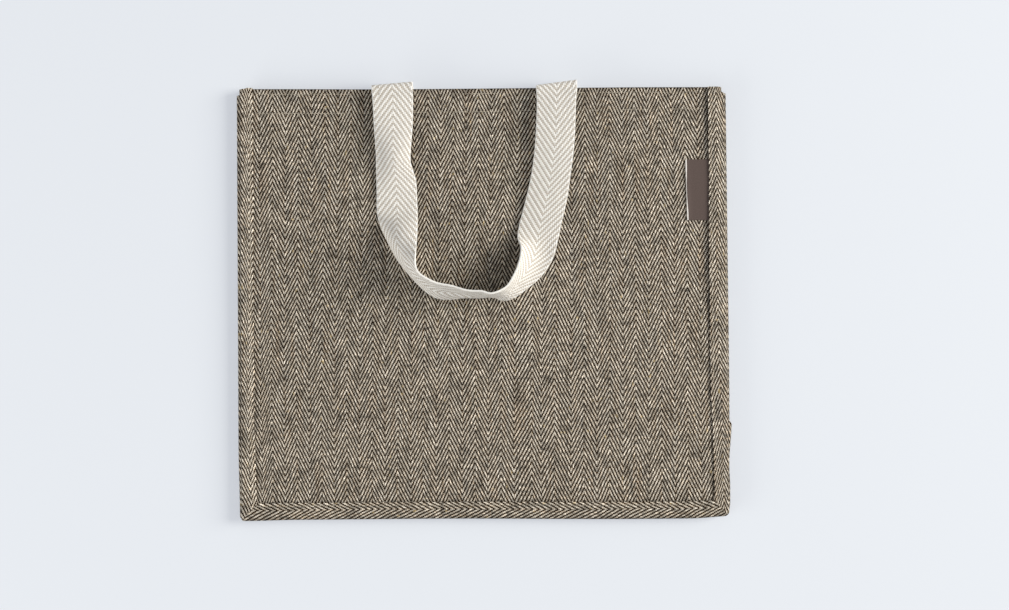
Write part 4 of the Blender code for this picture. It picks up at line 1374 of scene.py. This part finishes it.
def stitch_row(name, places, on):
    """Copies of the stitch. places holds (position, direction along the row, direction out)."""
    points, faces = [], []
    for k, (position, ahead, out) in enumerate(places):
        ahead, out = np.array(ahead, float), np.array(out, float)
        ahead = ahead / np.linalg.norm(ahead)
        aside = np.cross(out, ahead)
        swing = STITCH_SWING * math.sin(2.4 * k)
        turned = ahead * math.cos(swing) + aside * math.sin(swing)
        frame_of = np.stack([turned, np.cross(out, turned), out])
        buried = STITCH_BURIED * (1 + math.sin(5.1 * k + math.sin(1.3 * k))) / 2
        points.append(stitch_points @ frame_of + np.array(position) - buried * out)
        faces += [tuple(i + k * len(stitch_points) for i in face) for face in stitch_faces]
    mesh = bpy.data.meshes.new(name)
    mesh.from_pydata(np.concatenate(points), [], faces)
    mesh.materials.append(thread)
    mesh.shade_smooth()
    piece = bpy.data.objects.new(name, mesh)
    bpy.context.scene.collection.objects.link(piece)
    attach(piece, "root")
    print(f"{name}: {len(places)} stitches on the {on}")
    return piece


# %% [markdown]
# Two rows hold each hem, and one row runs along each binding near its inner edge.

# %% Rows of stitches
STITCH_ABOVE = 0.02 * MM
HEM_ENDS, ROW_ENDS = 1.5 * MM, 2 * MM  # the rows stop so far from what they run up to
ROW_WAVER, WAVER_LONG = 0.1 * MM, 7 * MM
ROW_FOLLOWS = 0.9  # of the leaf's narrowing


def hem_places(middle, side):
    """Along both hem rows of a panel. side is 1 for its upper face and -1 for its lower one."""
    places = []
    reach = HALF_WIDTH_MOUTH - BINDING - HEM_ENDS
    for row in (lambda x: HEM_ROW_HIGH, hem_row):
        for x in np.arange(-reach, reach, STITCH_PITCH):
            y = Y_MOUTH - row(x)
            z = float(middle(x, y)) + side * (CLOTH / 2 - SEAM_DENT + STITCH_ABOVE)
            new_x, new_y = as_it_lies(x, y + ROW_WAVER * math.sin(x / WAVER_LONG))
            places.append(((new_x, new_y, z), (1, 0, 0), (0, 0, side)))
    return places


def binding_places(layer, side, drop, is_front):
    """Along a binding's leaf. side is 1 for a leaf seen from above and -1 from below."""
    places = []
    surface = level(layer) + side * (CLOTH / 2 - ROW_DENT + STITCH_ABOVE)
    top = Y_MOUTH - drop - ROW_ENDS
    for y in np.arange(Y_BASE + STITCH_ROW + ROW_ENDS, top, STITCH_PITCH):
        for way in (-1, 1):
            x = way * (half_width(y) - STITCH_ROW)
            wide = ROW_FOLLOWS * way * float(narrower(x, y))
            if not is_front:
                wide += float(back_wider(x, y))
            lift = float(over_label(x, y, STITCH_ROW)) if is_front else 0.0
            new_x, new_y = as_it_lies(x + wide, y)
            places.append(((new_x, new_y, surface + lift), (0, 1, 0), (0, 0, side)))
    reach = half_width(Y_BASE) - STITCH_ROW - ROW_ENDS
    for x in np.arange(-reach, reach, STITCH_PITCH):
        new_x, new_y = as_it_lies(x, Y_BASE + STITCH_ROW)
        places.append(((new_x, new_y, surface), (1, 0, 0), (0, 0, side)))
    return places


stitch_row("front_hem_stitches", hem_places(front_middle, 1), "front hem")
stitch_row("back_hem_stitches", hem_places(back_middle, -1), "back hem")
front_row = binding_places(FRONT_BINDING_HIGH, 1, 0, True)
stitch_row("front_binding_stitches", front_row, "front binding")
back_row = binding_places(BACK_BINDING_LOW, -1, BACK_DROP, False)
stitch_row("back_binding_stitches", back_row, "back binding")
